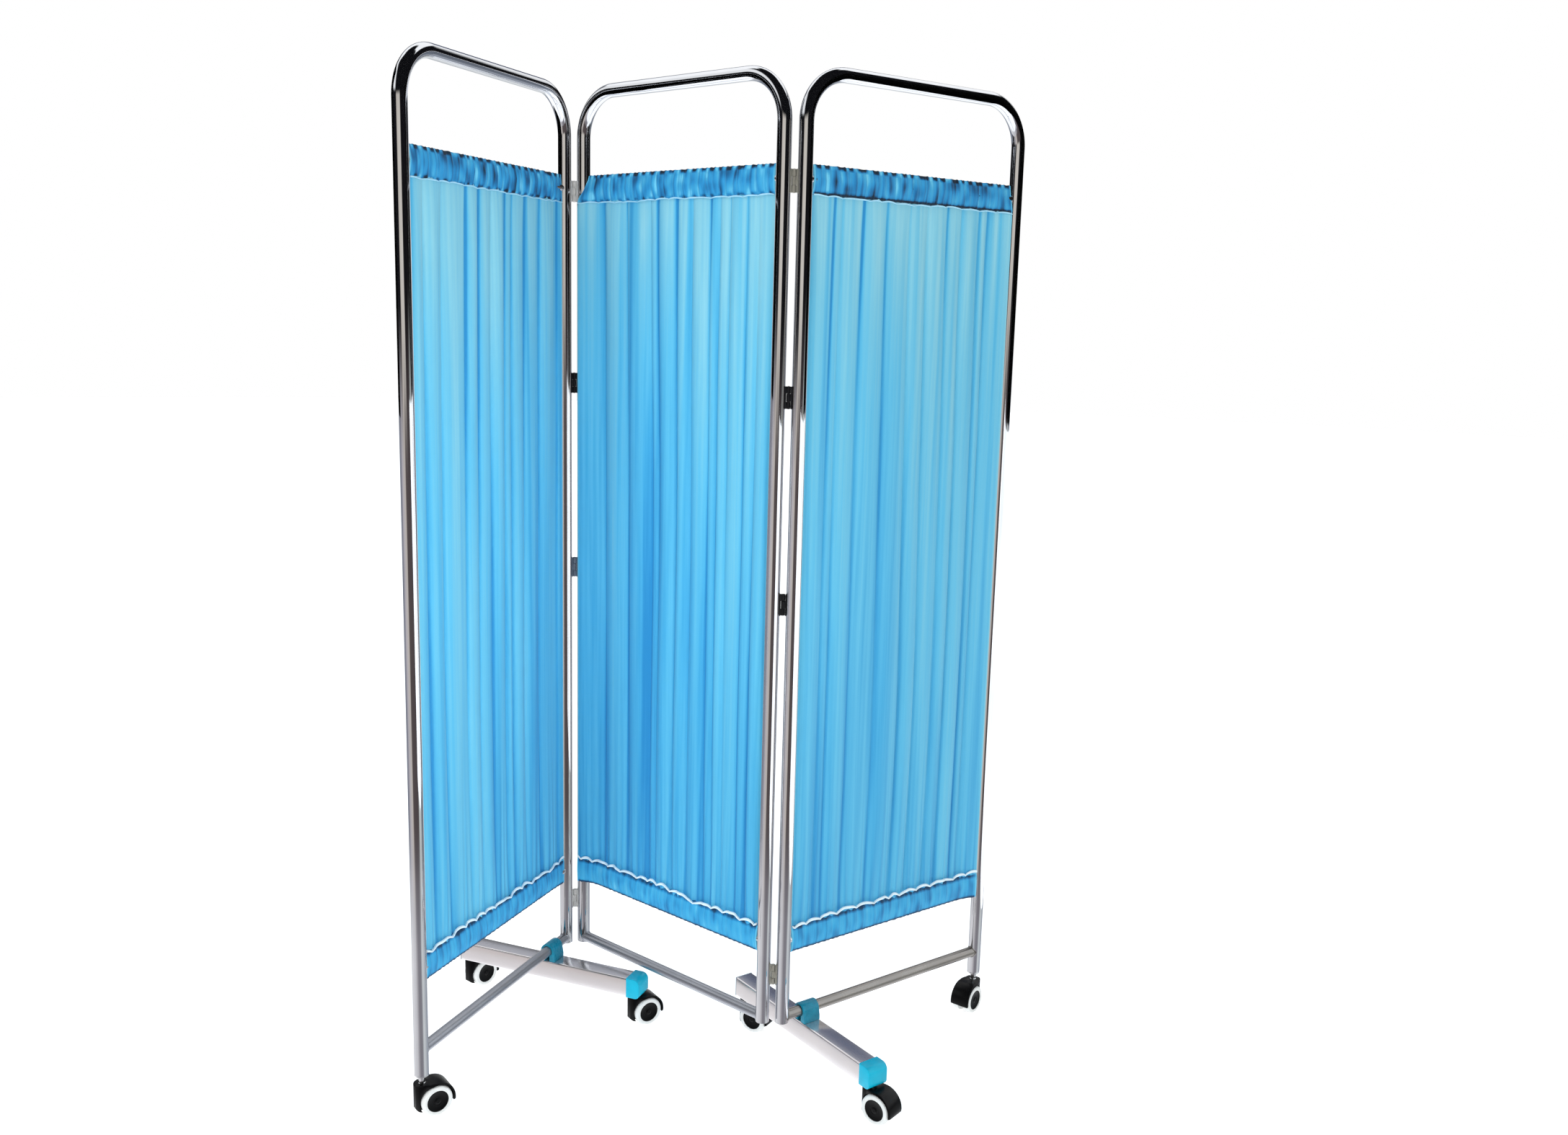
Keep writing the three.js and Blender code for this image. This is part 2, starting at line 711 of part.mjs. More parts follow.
// The four leaves on one post; the pin stands at (pinX, pinY) beside the post at (postX, 0)
function addLeaves(panel, gap, kind, geometry, postX, pinX, pinY) {
  hingeLevels.forEach((level, index) => {
    const finish = index === 1 || index === 2 ? 'hingeBlack' : 'hingeBright';
    const leaf = pieceMesh(`hinge_${gap}_${index + 1}_${kind}`, geometry.clone(), finish);
    leaf.position.set(pinX, pinY, level);
    leaf.rotation.z = Math.atan2(-pinY, postX - pinX) + Math.PI;
    panel.add(leaf);
  });
}

// One castor with its stem at the group's origin, on the floor, trailing at the given angle
function buildCastor(name, yaw, stem) {
  const castor = new THREE.Group();
  castor.add(pieceMesh(`castor_${name}_stem`, stem, 'steel'));
  const swivel = new THREE.Group();
  swivel.rotation.z = yaw;
  swivel.add(pieceMesh(`castor_${name}_hood`, hoodGeometry(), 'black'));
  const wheels = pieceMesh(`castor_${name}_wheels`, wheelPairGeometry(), 'wheel');
  wheels.position.set(swivelTrail, 0, axleHeight);
  swivel.add(wheels);
  castor.add(swivel);
  return castor;
}

// Foot with its cap, plug, saddle and two castors; panelYaw is the wing's own direction in the plan
function buildFoot(side, panelYaw) {
  const foot = new THREE.Group();
  const beam = new THREE.Group();
  beam.position.y = footShift;
  beam.add(pieceMesh(`foot_beam_${side}`, footBeamGeometry(), 'beam'));
  beam.add(pieceMesh(`foot_cap_${side}`, footCapGeometry(), 'teal'));
  beam.add(pieceMesh(`foot_plug_${side}`, footPlugGeometry(), 'plug'));
  foot.add(beam, pieceMesh(`rail_saddle_${side}`, footSaddleGeometry(), 'teal'));
  const [frontPlace, rearPlace] = footStemPlaces();
  for (const [end, place] of [['front', frontPlace], ['rear', rearPlace]]) {
    const name = `${side}_${end}`;
    const yaw = THREE.MathUtils.degToRad(castorYaws[name]) - panelYaw;
    const castor = buildCastor(name, yaw, footStemGeometry());
    castor.position.y = place;
    beam.add(castor);
  }
  return foot;
}

// Wing with its outer castor and foot, laid out so that the hinge pin is the group's origin
function buildWing(side, panelYaw, phase) {
  const wing = new THREE.Group();
  const isLeft = side === 'left';
  const innerX = isLeft ? panelWidth : 0;
  const outerX = panelWidth - innerX;
  const inward = isLeft ? -1 : 1;
  const bottoms = isLeft ? [outerPostBottom, innerPostBottom] : [innerPostBottom, outerPostBottom];
  const panel = buildPanel(side, bottoms[0], bottoms[1], phase);
  const pinX = innerX - inward * pinAlong;
  const pinY = inward * pinAside;
  addLeaves(panel, side, 'knuckle_leaf', knuckleLeafGeometry(), innerX, pinX, pinY);
  const foot = buildFoot(side, panelYaw);
  foot.position.x = innerX + inward * footSetback;
  panel.add(foot);
  const outerName = `${side}_outer`;
  const outerYaw = THREE.MathUtils.degToRad(castorYaws[outerName]) - panelYaw;
  const castor = buildCastor(outerName, outerYaw, postStemGeometry());
  castor.position.x = outerX;
  panel.add(castor);
  panel.position.set(-pinX, -pinY, 0);
  wing.add(panel);
  return wing;
}

// The whole screen: the middle panel carries a wing on the pins at each side
function buildScreen() {
  const screen = new THREE.Group();
  const middle = buildPanel('middle', innerPostBottom, innerPostBottom, 2);
  const middleAngle = THREE.MathUtils.degToRad(middleYaw);
  const leftAngle = THREE.MathUtils.degToRad(leftFold);
  const rightAngle = THREE.MathUtils.degToRad(rightFold);
  addLeaves(middle, 'left', 'pin_leaf', pinLeafGeometry(), 0, -pinAlong, -pinAside);
  addLeaves(middle, 'right', 'pin_leaf', pinLeafGeometry(), panelWidth, panelWidth + pinAlong, pinAside);
  const leftWing = buildWing('left', middleAngle + leftAngle, 1);
  leftWing.name = 'left_wing';
  leftWing.position.set(-pinAlong, -pinAside, 0);
  leftWing.rotation.z = leftAngle;
  const rightWing = buildWing('right', middleAngle + rightAngle, 3);
  rightWing.name = 'right_wing';
  rightWing.position.set(panelWidth + pinAlong, pinAside, 0);
  rightWing.rotation.z = rightAngle;
  middle.add(leftWing, rightWing);
  middle.rotation.z = middleAngle;
  screen.add(middle);
  return screen;
}

// The origin is on the floor under the middle of the standing screen
function centreOnFloor(screen) {
  screen.updateMatrixWorld(true);
  const box = new THREE.Box3().setFromObject(screen, true);
  screen.position.set(-(box.min.x + box.max.x) / 2, -(box.min.y + box.max.y) / 2, 0);
  screen.updateMatrixWorld(true);
  return screen;
}

export default centreOnFloor(buildScreen());
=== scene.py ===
# %% [markdown]
# # A ward privacy screen on wheels
# Three panels of bent chromed tube stand side by side on hinges, and each holds a gathered
# sky-blue curtain between two rods. Two cross feet and six hooded twin-wheel castors carry it.
# The CAD model gives every size and place, so this file only dresses it: smooth round metal,
# real folds in the cloth, and a finish for every surface.

import math
import random

import bmesh
import bpy
from mathutils import Matrix, Vector, noise


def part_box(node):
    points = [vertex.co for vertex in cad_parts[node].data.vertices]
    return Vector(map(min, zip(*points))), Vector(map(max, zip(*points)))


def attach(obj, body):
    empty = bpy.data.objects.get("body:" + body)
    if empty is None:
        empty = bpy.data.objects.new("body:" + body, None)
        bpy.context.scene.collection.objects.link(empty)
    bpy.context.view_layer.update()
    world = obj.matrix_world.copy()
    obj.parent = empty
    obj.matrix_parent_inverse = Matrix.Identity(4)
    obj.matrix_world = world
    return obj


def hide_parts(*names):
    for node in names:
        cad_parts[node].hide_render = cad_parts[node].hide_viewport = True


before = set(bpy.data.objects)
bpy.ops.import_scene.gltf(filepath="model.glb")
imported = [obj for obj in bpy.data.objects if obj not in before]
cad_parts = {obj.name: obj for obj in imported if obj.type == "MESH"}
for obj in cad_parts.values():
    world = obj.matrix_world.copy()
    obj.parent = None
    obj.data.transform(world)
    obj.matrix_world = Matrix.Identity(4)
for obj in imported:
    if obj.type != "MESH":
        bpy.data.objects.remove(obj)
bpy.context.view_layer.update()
MM = 0.001


def placed(name, data):
    made = bpy.data.objects.new(name, data)
    bpy.context.scene.collection.objects.link(made)
    return made


def rotation(degrees, axis):
    return Matrix.Rotation(math.radians(degrees), 4, axis)


# %% [markdown]
# ## The camera
# The camera comes first, because every later choice is judged through it. It stands a little
# right of the screen's middle at eye height, looks ten degrees down, and is rolled a little, so
# that the right side hangs lower. The lens follows from how far apart the posts appear.

# %% The camera
CAMERA_PLACE = Vector((109.5, -2446.9, 1388.4)) * MM
CAMERA_PITCH = 10.28
CAMERA_ROLL = 1.52
FOCAL_PIXELS = 1906.2
PHOTO_WIDTH_PIXELS = 2175
SENSOR_WIDTH = 36
lens = bpy.data.cameras.new("eye_height_camera")
lens.sensor_fit = "HORIZONTAL"
lens.sensor_width = SENSOR_WIDTH
lens.lens = SENSOR_WIDTH * FOCAL_PIXELS / PHOTO_WIDTH_PIXELS
camera = placed("eye_height_camera", lens)
tilt = rotation(90 - CAMERA_PITCH, "X")
camera.matrix_world = Matrix.Translation(CAMERA_PLACE) @ tilt @ rotation(CAMERA_ROLL, "Z")
bpy.context.scene.camera = camera
print("camera at", [round(x, 3) for x in CAMERA_PLACE], "lens", round(lens.lens, 2))

# %% [markdown]
# ## Colours and nodes
# Colours are written as sRGB hex values, while shaders work in linear light, so one function
# turns them. Another feeds a node's inputs with plain values or with links from other nodes, and
# short ones add the kinds of node that nearly every finish needs.

# %% Colours and nodes
def colour(hex_value):
    channels = [int(hex_value[i:i + 2], 16) / 255 for i in (1, 3, 5)]
    linear = [c / 12.92 if c <= 0.04045 else ((c + 0.055) / 1.055) ** 2.4 for c in channels]
    return (*linear, 1.0)


def feed(tree, node, inputs):
    for name, value in inputs.items():
        if isinstance(value, bpy.types.NodeSocket):
            tree.links.new(value, node.inputs[name])
        else:
            node.inputs[name].default_value = value


def add_node(tree, kind, inputs=None, output=0, **settings):
    made = tree.nodes.new(kind)
    for name, value in settings.items():
        setattr(made, name, value)
    feed(tree, made, inputs or {})
    return made.outputs[output] if len(made.outputs) else made


def colour_ramp(tree, factor, stops):
    made = add_node(tree, "ShaderNodeValToRGB", {"Fac": factor}, "Color")
    elements = made.node.color_ramp.elements
    for element, (position, tone) in zip(elements, (stops[0], stops[-1])):
        element.position = position
        element.color = colour(tone)
    for position, tone in stops[1:-1]:
        elements.new(position).color = colour(tone)
    return made


def between(tree, value, low, high):
    return add_node(tree, "ShaderNodeMapRange", {"Value": value, "From Min": low, "From Max": high},
                    interpolation_type="SMOOTHSTEP")


def mapped(tree, value, to_min, to_max, low=0, high=1):
    return add_node(tree, "ShaderNodeMapRange", {
        "Value": value, "From Min": low, "From Max": high, "To Min": to_min, "To Max": to_max,
    })


def blended(tree, share, first, second):
    pair = [colour(tone) if isinstance(tone, str) else tone for tone in (first, second)]
    return add_node(tree, "ShaderNodeMix", {0: share, 6: pair[0], 7: pair[1]}, 2, data_type="RGBA")


def combined(tree, operation, first, second):
    return add_node(tree, "ShaderNodeMath", {0: first, 1: second}, operation=operation)


def bumpy(tree, height, strength, depth):
    return add_node(tree, "ShaderNodeBump", {"Height": height, "Strength": strength, "Distance": depth})


def uneven(tree, scale, detail=2.0):
    place = add_node(tree, "ShaderNodeTexCoord", output="Object")
    return add_node(tree, "ShaderNodeTexNoise", {"Vector": place, "Scale": scale, "Detail": detail})


def new_material(name, inputs=None):
    material = bpy.data.materials.new(name)
    material.use_nodes = True
    tree = material.node_tree
    feed(tree, tree.nodes["Principled BSDF"], inputs or {})
    return material, tree, tree.nodes["Principled BSDF"]


# %% [markdown]
# ## The studio
# Polished tube shows the room and not itself. A product shot of chrome is made in a dark room:
# the dark ceiling draws the black streak along each bar, a narrow bright wall behind the camera
# gives each post its warm middle, and lower down the posts mirror the soft greys of the floor.
# Here the world does that for reflections only. It is painted by compass direction with one
# colour ramp for level looks and two for looks down, while cloth and plastic are lit by plain
# soft white from all round. The floor is a white sheet lit from below, as on a light table, and
# chrome that looks straight down sees it brighter than white. Two black flags hang beside the
# upper bars, which makes their streaks broad, and a white reflector at the right burns out the
# side of the last post. Only reflections see them.

# %% The room that the metal reflects
WHITE = "#ffffff"
DARK_WALL = "#151418"
DARK_SIDE = "#131215"
BRIGHT_FLOOR = (1.35, 1.37, 1.4, 1)
BRIGHT_WINDOW = (1.2, 1.2, 1.2, 1)
world = bpy.data.worlds.new("soft_studio")
bpy.context.scene.world = world
world.use_nodes = True
room = world.node_tree
room.nodes.clear()
direction = add_node(room, "ShaderNodeTexCoord", output="Generated")
across, ahead, high = (add_node(room, "ShaderNodeSeparateXYZ", {"Vector": direction}, axis)
                       for axis in "XYZ")
compass = add_node(room, "ShaderNodeTexGradient", {"Vector": direction}, "Fac", gradient_type="RADIAL")
level_walls = colour_ramp(room, compass, [
    (0.0, DARK_WALL), (0.145, DARK_WALL), (0.17, "#d8cfc4"), (0.285, "#ddd6cc"), (0.31, DARK_SIDE),
    (0.64, DARK_SIDE), (0.72, WHITE), (0.79, WHITE), (0.86, DARK_WALL), (1.0, DARK_WALL),
])
lower_walls = colour_ramp(room, compass, [
    (0.0, "#9c99a2"), (0.05, "#c8c2c6"), (0.17, "#d2c8bf"), (0.21, "#5e5453"), (0.41, "#544b4c"),
    (0.45, "#d8dcd7"), (0.53, "#c4c8c8"), (0.58, "#6c727c"), (0.64, "#787e8a"), (0.75, "#f6f8f8"),
    (0.82, "#7e8896"), (0.9, "#8a8f9c"), (1.0, "#9c99a2"),
])
floor_edge = colour_ramp(room, compass, [
    (0.0, "#efedee"), (0.05, "#e6e4e6"), (0.14, "#dcd9db"), (0.2, "#b9b5b8"), (0.26, "#8f8b90"),
    (0.36, "#8d8a90"), (0.43, "#dfe2e2"), (0.54, "#c0c4c9"), (0.65, "#989eaa"), (0.75, "#f6f8f8"),
    (0.82, "#aab0b8"), (0.9, "#efedee"),
])
upper_walls = blended(room, between(room, high, 0.03, -0.10), level_walls, lower_walls)
walls = blended(room, between(room, high, -0.34, -0.43), upper_walls, floor_edge)
below = blended(room, between(room, high, -0.52, -0.6), walls, BRIGHT_FLOOR)
above = blended(room, between(room, high, 0.14, 0.30), below, "#0f0f12")


def where_both(first, second):
    return combined(room, "MULTIPLY", first, second)


far_high = where_both(between(room, high, 0.34, 0.40), between(room, high, 0.66, 0.60))
far_window = where_both(far_high, between(room, ahead, 0.58, 0.72))
left_glow = blended(room, between(room, across, -0.16, 0.02), "#a9adb6", "#3b476a")
far_glow = blended(room, between(room, across, 0.10, 0.22), left_glow, WHITE)
side_window = where_both(between(room, high, 0.22, 0.36), between(room, across, -0.62, -0.76))
rear_high = where_both(between(room, high, 0.58, 0.66), between(room, high, 0.93, 0.88))
rear_light = where_both(rear_high, between(room, ahead, 0.10, 0.18))
windows = blended(room, side_window, blended(room, far_window, above, far_glow), WHITE)
whole_room = blended(room, rear_light, windows, BRIGHT_WINDOW)
diffuse_ray, glossy_ray = (add_node(room, "ShaderNodeLightPath", output=f"Is {kind} Ray")
                           for kind in ("Diffuse", "Glossy"))
seen = blended(room, glossy_ray, blended(room, diffuse_ray, WHITE, "#d4d8da"), whole_room)
background = add_node(room, "ShaderNodeBackground", {"Color": seen})
add_node(room, "ShaderNodeOutputWorld", {"Surface": background})
bpy.context.scene.view_settings.view_transform = "Standard"

# %% The soft lights
def soft_light(name, place, aim, width, height, watts, spread=180):
    data = bpy.data.lights.new(name, "AREA")
    data.shape = "RECTANGLE"
    data.size = width
    data.size_y = height
    data.energy = watts
    data.spread = math.radians(spread)
    light = placed(name, data)
    turn = (Vector(aim) - Vector(place)).to_track_quat("-Z", "Y")
    light.matrix_world = Matrix.Translation(place) @ turn.to_matrix().to_4x4()
    light.visible_glossy = False
    light.visible_camera = False


soft_light("key_softbox", (-2.4, -3.2, 2.6), (0, 0, 0.9), 1.6, 1.6, 40)
soft_light("left_wing_softbox", (0.45, -1.8, 1.1), (-0.46, -0.1, 0.95), 0.5, 1.2, 1.9, spread=50)

# %% The floor
def mesh_object(name, bm, material):
    mesh = bpy.data.meshes.new(name)
    bm.to_mesh(mesh)
    bm.free()
    mesh.materials.append(material)
    return placed(name, mesh)


floor_paint, floor_tree, floor_shader = new_material("matt_white_acrylic_floor", {
    "Roughness": 0.9, "Emission Color": colour(WHITE), "Emission Strength": 0.6,
})
floor_noise = add_node(floor_tree, "ShaderNodeTexNoise", {"Scale": 1.5})
feed(floor_tree, floor_shader, {"Base Color": blended(floor_tree, floor_noise, "#fafafa", WHITE)})
floor_bm = bmesh.new()
bmesh.ops.create_circle(floor_bm, cap_ends=True, segments=64, radius=20)
studio_floor = mesh_object("studio_floor", floor_bm, floor_paint)
studio_floor.visible_glossy = False

# %% Two black flags and a reflector
def hanging_cloth(name, tone, glow):
    cloth, tree, shader = new_material(name, {
        "Specular IOR Level": 0, "Emission Color": colour(tone), "Emission Strength": glow,
    })
    patches = add_node(tree, "ShaderNodeTexNoise", {"Scale": 4})
    feed(tree, shader, {"Base Color": blended(tree, patches, tone, "#040404")})
    return cloth


flag_black = hanging_cloth("black_velvet_flag", "#020202", 0)
reflector_white = hanging_cloth("white_silk_reflector", WHITE, 1.0)
for name, x, (near, far), (bottom, top), cloth in (
    ("left_flag", -0.8, (-0.3, 0.5), (1.2, 1.98), flag_black),
    ("right_flag", 0.95, (-0.3, 0.6), (1.17, 2.05), flag_black),
    ("right_reflector", 0.75, (-1.1, 0.5), (0.12, 1.17), reflector_white),
):
    hanging_bm = bmesh.new()
    hanging_bm.faces.new([hanging_bm.verts.new((x, y, z))
                          for y, z in ((near, bottom), (far, bottom), (far, top), (near, top))])
    hanging = mesh_object(name, hanging_bm, cloth)
    hanging.visible_camera = hanging.visible_diffuse = hanging.visible_shadow = False

# %% [markdown]
# ## Finishes
# ### Chromed tube
# Decorative chrome is a thin bright coat over polished and nickelled steel. It is almost a
# mirror, with a faint blue cast, and handling leaves it slightly duller in patches, so the
# roughness wanders over a few centimetres and a very fine unevenness is left in the bump.

# %% Chromed tube
def surface(name, light, dark, patch_mm, grain_mm, grain_detail, grain_strength, grain_depth, inputs):
    material, tree, shader = new_material(name, inputs)
    patches = uneven(tree, 1 / (patch_mm * MM))
    grain = uneven(tree, 1 / (grain_mm * MM), grain_detail)
    feed(tree, shader, {
        "Base Color": blended(tree, patches, dark, light),
        "Normal": bumpy(tree, grain, grain_strength, grain_depth * MM),
    })
    return material, tree, shader, patches


def plated_metal(name, light, dull, smooth, rough, patch_mm, grain_mm, grain_depth, metallic=1.0):
    material, tree, shader, patches = surface(name, light, dull, patch_mm, grain_mm, 4, 0.15, grain_depth,
                                              {"Metallic": metallic})
    feed(tree, shader, {"Roughness": mapped(tree, patches, rough, smooth)})
    return material


chromed_tube = plated_metal("polished_chrome_on_tube", "#e6e8ec", "#d6d9de", 0.04, 0.08, 60, 6, 0.002)

# %% [markdown]
# ### Other metals
# The rods and the stems are zinc plated, which is greyer and softer than chrome. The bottom
# rails were left satin, and so was the square tube of the feet, whose flat faces show soft
# gradients: part of the light scatters in the coat, so these two are not fully metallic. The
# right rail gets a darker, warmer copy of the same nickel, which paints in the darker reflection it
# shows. The hinges at the ends are dull plated and scatter more still; the left ones get a lighter
# copy of the plating and the right ones a darker olive copy, painted reflection in both. The ones
# between are enamelled black, and the third on the left gets a blue-grey copy of the enamel, a
# painted reflection.

# %% Other metals
rod_steel = plated_metal("zinc_plated_rod", "#c9ccd0", "#b4b7bc", 0.22, 0.34, 25, 3, 0.02)
stem_steel = plated_metal("bright_zinc_stem", "#eceef0", "#d9dbde", 0.12, 0.22, 20, 2, 0.02)
rail_satin = plated_metal("satin_nickel_on_rail", "#b1b4bb", "#a0a3ab", 0.3, 0.4, 60, 2, 0.006, 0.85)
# The right rail's darker, warmer copy of the same nickel is painted reflection.
rail_painted_dark_reflection = plated_metal("nickel_on_rail_with_painted_dark_reflection", "#938f8b", "#827f7c", 0.24, 0.32, 60, 2, 0.006, 0.9)
RAIL_FINISH = {"left": rail_satin, "middle": rail_satin, "right": rail_painted_dark_reflection}
# The end hinges are one plating in two copies, darker olive for the right gap and lighter for the left:
# painted reflection.
hinge_plating_painted_dark = plated_metal("dull_plating_with_painted_dark_reflection_on_hinge", "#b3b1a6", "#98968c", 0.3, 0.45, 12, 1.5, 0.03, 0.6)
hinge_plating_painted_light = plated_metal("dull_plating_with_painted_light_reflection_on_hinge", "#dcdbd9", "#c9c8c6", 0.3, 0.4, 12, 1.5, 0.03, 0.35)
satin_silver = plated_metal("satin_silver_coat_on_foot", "#eeebec", "#e2dfe1", 0.16, 0.22, 70, 2, 0.002,
                            0.93)


# %% [markdown]
# ### Painted and moulded black, teal and grey
# Moulded plastic keeps one colour all through, with a sheen that is broken by the spark-eroded
# texture of the mould. Teal caps and saddles are glossy, the black hoods a little less so.

# %% Moulded plastics and black paint
def moulded(name, light, dark, rough, patch_mm, grain_mm, grain_depth, coat=0.0, shine=0.5):
    material, tree, shader, _ = surface(name, light, dark, patch_mm, grain_mm, 3, 0.3, grain_depth,
                                        {"Coat Weight": coat, "Specular IOR Level": shine})
    gloss = uneven(tree, 1 / (patch_mm * 0.4 * MM))
    feed(tree, shader, {"Roughness": mapped(tree, gloss, rough * 0.8, rough * 1.2)})
    return material


black_paint = moulded("black_enamel_on_hinge", "#15161a", "#0c0d10", 0.35, 8, 1.2, 0.04, shine=0.3)
# A blue-grey copy of the black hinge enamel, which paints in a lighter reflection.
black_enamel_painted_blue_grey = moulded("black_enamel_with_painted_blue_grey_reflection_on_hinge", "#5b6676", "#4d5867", 0.35, 8, 1.2, 0.04)
cap_teal = moulded("teal_polypropylene_cap", "#0ac2e2", "#0ba9c8", 0.25, 14, 0.9, 0.03, 0.06, 0.25)
saddle_teal = moulded("dark_teal_nylon_saddle", "#0f93b0", "#0a6c88", 0.28, 12, 0.9, 0.03, 0.06, 0.3)
plug_grey = moulded("grey_polythene_plug", "#a3adb2", "#929da3", 0.5, 12, 1.0, 0.04)
hood_black = moulded("black_nylon_hood", "#09090b", "#050506", 0.3, 15, 0.9, 0.04, shine=0.14)
hub_black = moulded("black_nylon_hub", "#0a0b0d", "#060708", 0.4, 10, 0.9, 0.04, shine=0.12)
tyre_white = moulded("light_grey_rubber_tyre", "#eff0ee", "#e3e4e2", 0.55, 9, 0.7, 0.05, shine=0.3)

# %% [markdown]
# ### Curtain cloth
# The curtain is a thin plain weave of cotton and polyester. One layer lets light through and
# looks pale, and where folds double it the blue deepens. The sheet is drawn as one layer, so this
# light and shade is painted: the mesh carries a value called tone, from 0 for a single lit layer
# to 1 for the bottom of a crease, and one colour ramp turns it into blue, pale for painted light
# through the cloth and deep for painted shade in the creases. Its threads are about 0.4 mm apart,
# too fine for a picture of the whole screen, so the weave is drawn three times as coarse, and
# thicker threads called slubs run down it.

# %% Curtain cloth
THREAD = 1.2 * MM
THREAD_DEPTH = 0.25 * MM
WAVE_RADIANS = 20  # Blender's wave texture turns by 20 radians over one unit at a scale of 1
SLUB_WIDTH = 7 * MM
SLUB_STRETCH = (1, 0.02, 1)


def woven(name, blues):
    material, tree, shader = new_material(name, {"Sheen Weight": 0.05, "Sheen Roughness": 0.5})
    place = add_node(tree, "ShaderNodeUVMap", uv_map="cloth")
    weave = combined(tree, "MULTIPLY", *(
        add_node(tree, "ShaderNodeTexWave", {
            "Vector": place, "Scale": math.tau / (WAVE_RADIANS * THREAD), "Distortion": 0.4,
        }, "Fac", wave_type="BANDS", bands_direction=axis) for axis in "XY"
    ))
    slubs = add_node(tree, "ShaderNodeTexNoise", {
        "Vector": add_node(tree, "ShaderNodeMapping", {"Vector": place, "Scale": SLUB_STRETCH}),
        "Scale": 1 / SLUB_WIDTH, "Detail": 4,
    })
    # The tone value carries painted light through the cloth and painted shade in the creases, with random
    # patches.
    tone = add_node(tree, "ShaderNodeAttribute", output="Fac", attribute_name="tone")
    for extra in (mapped(tree, slubs, -0.1, 0.1, 0.3, 0.7), mapped(tree, weave, 0.08, 0)):
        tone = combined(tree, "ADD", tone, extra)
    feed(tree, shader, {
        "Base Color": colour_ramp(tree, tone, list(zip((0.0, 0.25, 0.5, 0.75, 1.0), blues))),
        "Roughness": mapped(tree, weave, 0.9, 0.75),
        "Normal": bumpy(tree, weave, 0.35, THREAD_DEPTH),
    })
    return material


curtain_cloth = woven("sky_blue_plain_weave", ("#8ccbdb", "#70bfda", "#59b7dc", "#40a5d4", "#258ac4"))
heading_cloth = woven("ruched_blue_plain_weave", ("#77d2ef", "#3da5d4", "#2690c9", "#10689e", "#04263c"))
hem_cloth = woven("hem_blue_plain_weave", ("#79d1ef", "#44b1dd", "#30a0d5", "#1a7bb4", "#093c5f"))
ruffle_cotton = moulded("white_cotton_ruffle", "#eaf6fb", "#d6ecf5", 0.8, 6, 0.8, 0.1, shine=0.1)
piping_cotton = moulded("pale_blue_cotton_piping", "#b4def0", "#8fcbe6", 0.8, 6, 0.8, 0.1, shine=0.1)

# %% [markdown]
# ## Where the panels stand
# Each panel is drawn once in its own frame, with one post on the Z axis and the other along X,
# and is then turned and moved to its place. The places are printed beside the CAD boxes of the posts.

# %% Where the panels stand
PANEL_WIDTH = 490 * MM
MIDDLE_YAW = -39.9
LEFT_FOLD = 108.5
RIGHT_FOLD = 76.5


def standing(x, y, yaw):
    return Matrix.Translation((x * MM, y * MM, 0)) @ rotation(yaw, "Z")


PANELS = {
    "left": standing(-497.455, -253.117, MIDDLE_YAW + LEFT_FOLD),
    "middle": standing(-284.459, 211.851, MIDDLE_YAW),
    "right": standing(127.314, -103.492, MIDDLE_YAW + RIGHT_FOLD),
}
PANEL_BODY = {"left": "left_wing", "middle": "middle_panel", "right": "right_wing"}
for side, place in PANELS.items():
    low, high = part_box(f"frame_tube_{side}")
    far = place @ Vector((PANEL_WIDTH, 0, 0))
    print(side, "posts at", [round(x, 3) for x in place.translation], [round(x, 3) for x in far],
          "CAD", [round(x, 3) for x in low], [round(x, 3) for x in high])

# %% [markdown]
# ## A finished piece
# Every piece ends the same way: doubled points merged, normals outward, round faces smooth and
# sharp edges kept sharp, its place put into the mesh, and then it is told which body of the
# moving model it rides on, which material it wears and which CAD nodes it stands for.

# %% A finished piece
MERGE = 1e-6
METAL_SHARP = 40


def finish_piece(name, bm, material, place, body, nodes=(), sharp=METAL_SHARP, merge=MERGE):
    if merge:
        bmesh.ops.remove_doubles(bm, verts=bm.verts, dist=merge)
        bmesh.ops.recalc_face_normals(bm, faces=bm.faces)
    for edge in bm.edges:
        edge.smooth = edge.calc_face_angle(0) < math.radians(sharp)
    for face in bm.faces:
        face.smooth = True
    piece = mesh_object(name, bm, material)
    piece.data.transform(place)
    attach(piece, body)
    if nodes:
        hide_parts(*nodes)
    return piece


# %% [markdown]
# ## Bent tube frames
# A tube bender starts with a straight tube and turns it round a former. The same happens here:
# a ring of points is pulled up the post, spun a quarter turn at each corner, and pulled down
# again. The open ends are closed by an inset rim with the bore pushed up inside.

# %% Pulling and bending a tube
def verts_in(geom):
    return [item for item in geom if isinstance(item, bmesh.types.BMVert)]


def pull(bm, edges, along):
    made = bmesh.ops.extrude_edge_only(bm, edges=edges)["geom"]
    ring = set(verts_in(made))
    bmesh.ops.translate(bm, verts=list(ring), vec=along)
    return [e for e in made if isinstance(e, bmesh.types.BMEdge) and set(e.verts) <= ring]


def pulled_tube(sides, radius, along, steps, matrix):
    bm = bmesh.new()
    bmesh.ops.create_circle(bm, segments=sides, radius=radius, matrix=matrix)
    ring = bm.edges[:]
    for _ in range(steps):
        ring = pull(bm, ring, along)
    return bm


def push_out(bm, faces, along):
    pushed = bmesh.ops.extrude_face_region(bm, geom=faces)["geom"]
    bmesh.ops.translate(bm, verts=verts_in(pushed), vec=along)


def close_ends(bm):
    bmesh.ops.holes_fill(bm, edges=[e for e in bm.edges if e.is_boundary])


def round_edges(bm, edges, offset, segments, clamp=False):
    bmesh.ops.bevel(bm, geom=edges, offset=offset, segments=segments, profile=0.5, affect="EDGES",
                    clamp_overlap=clamp, material=-1)


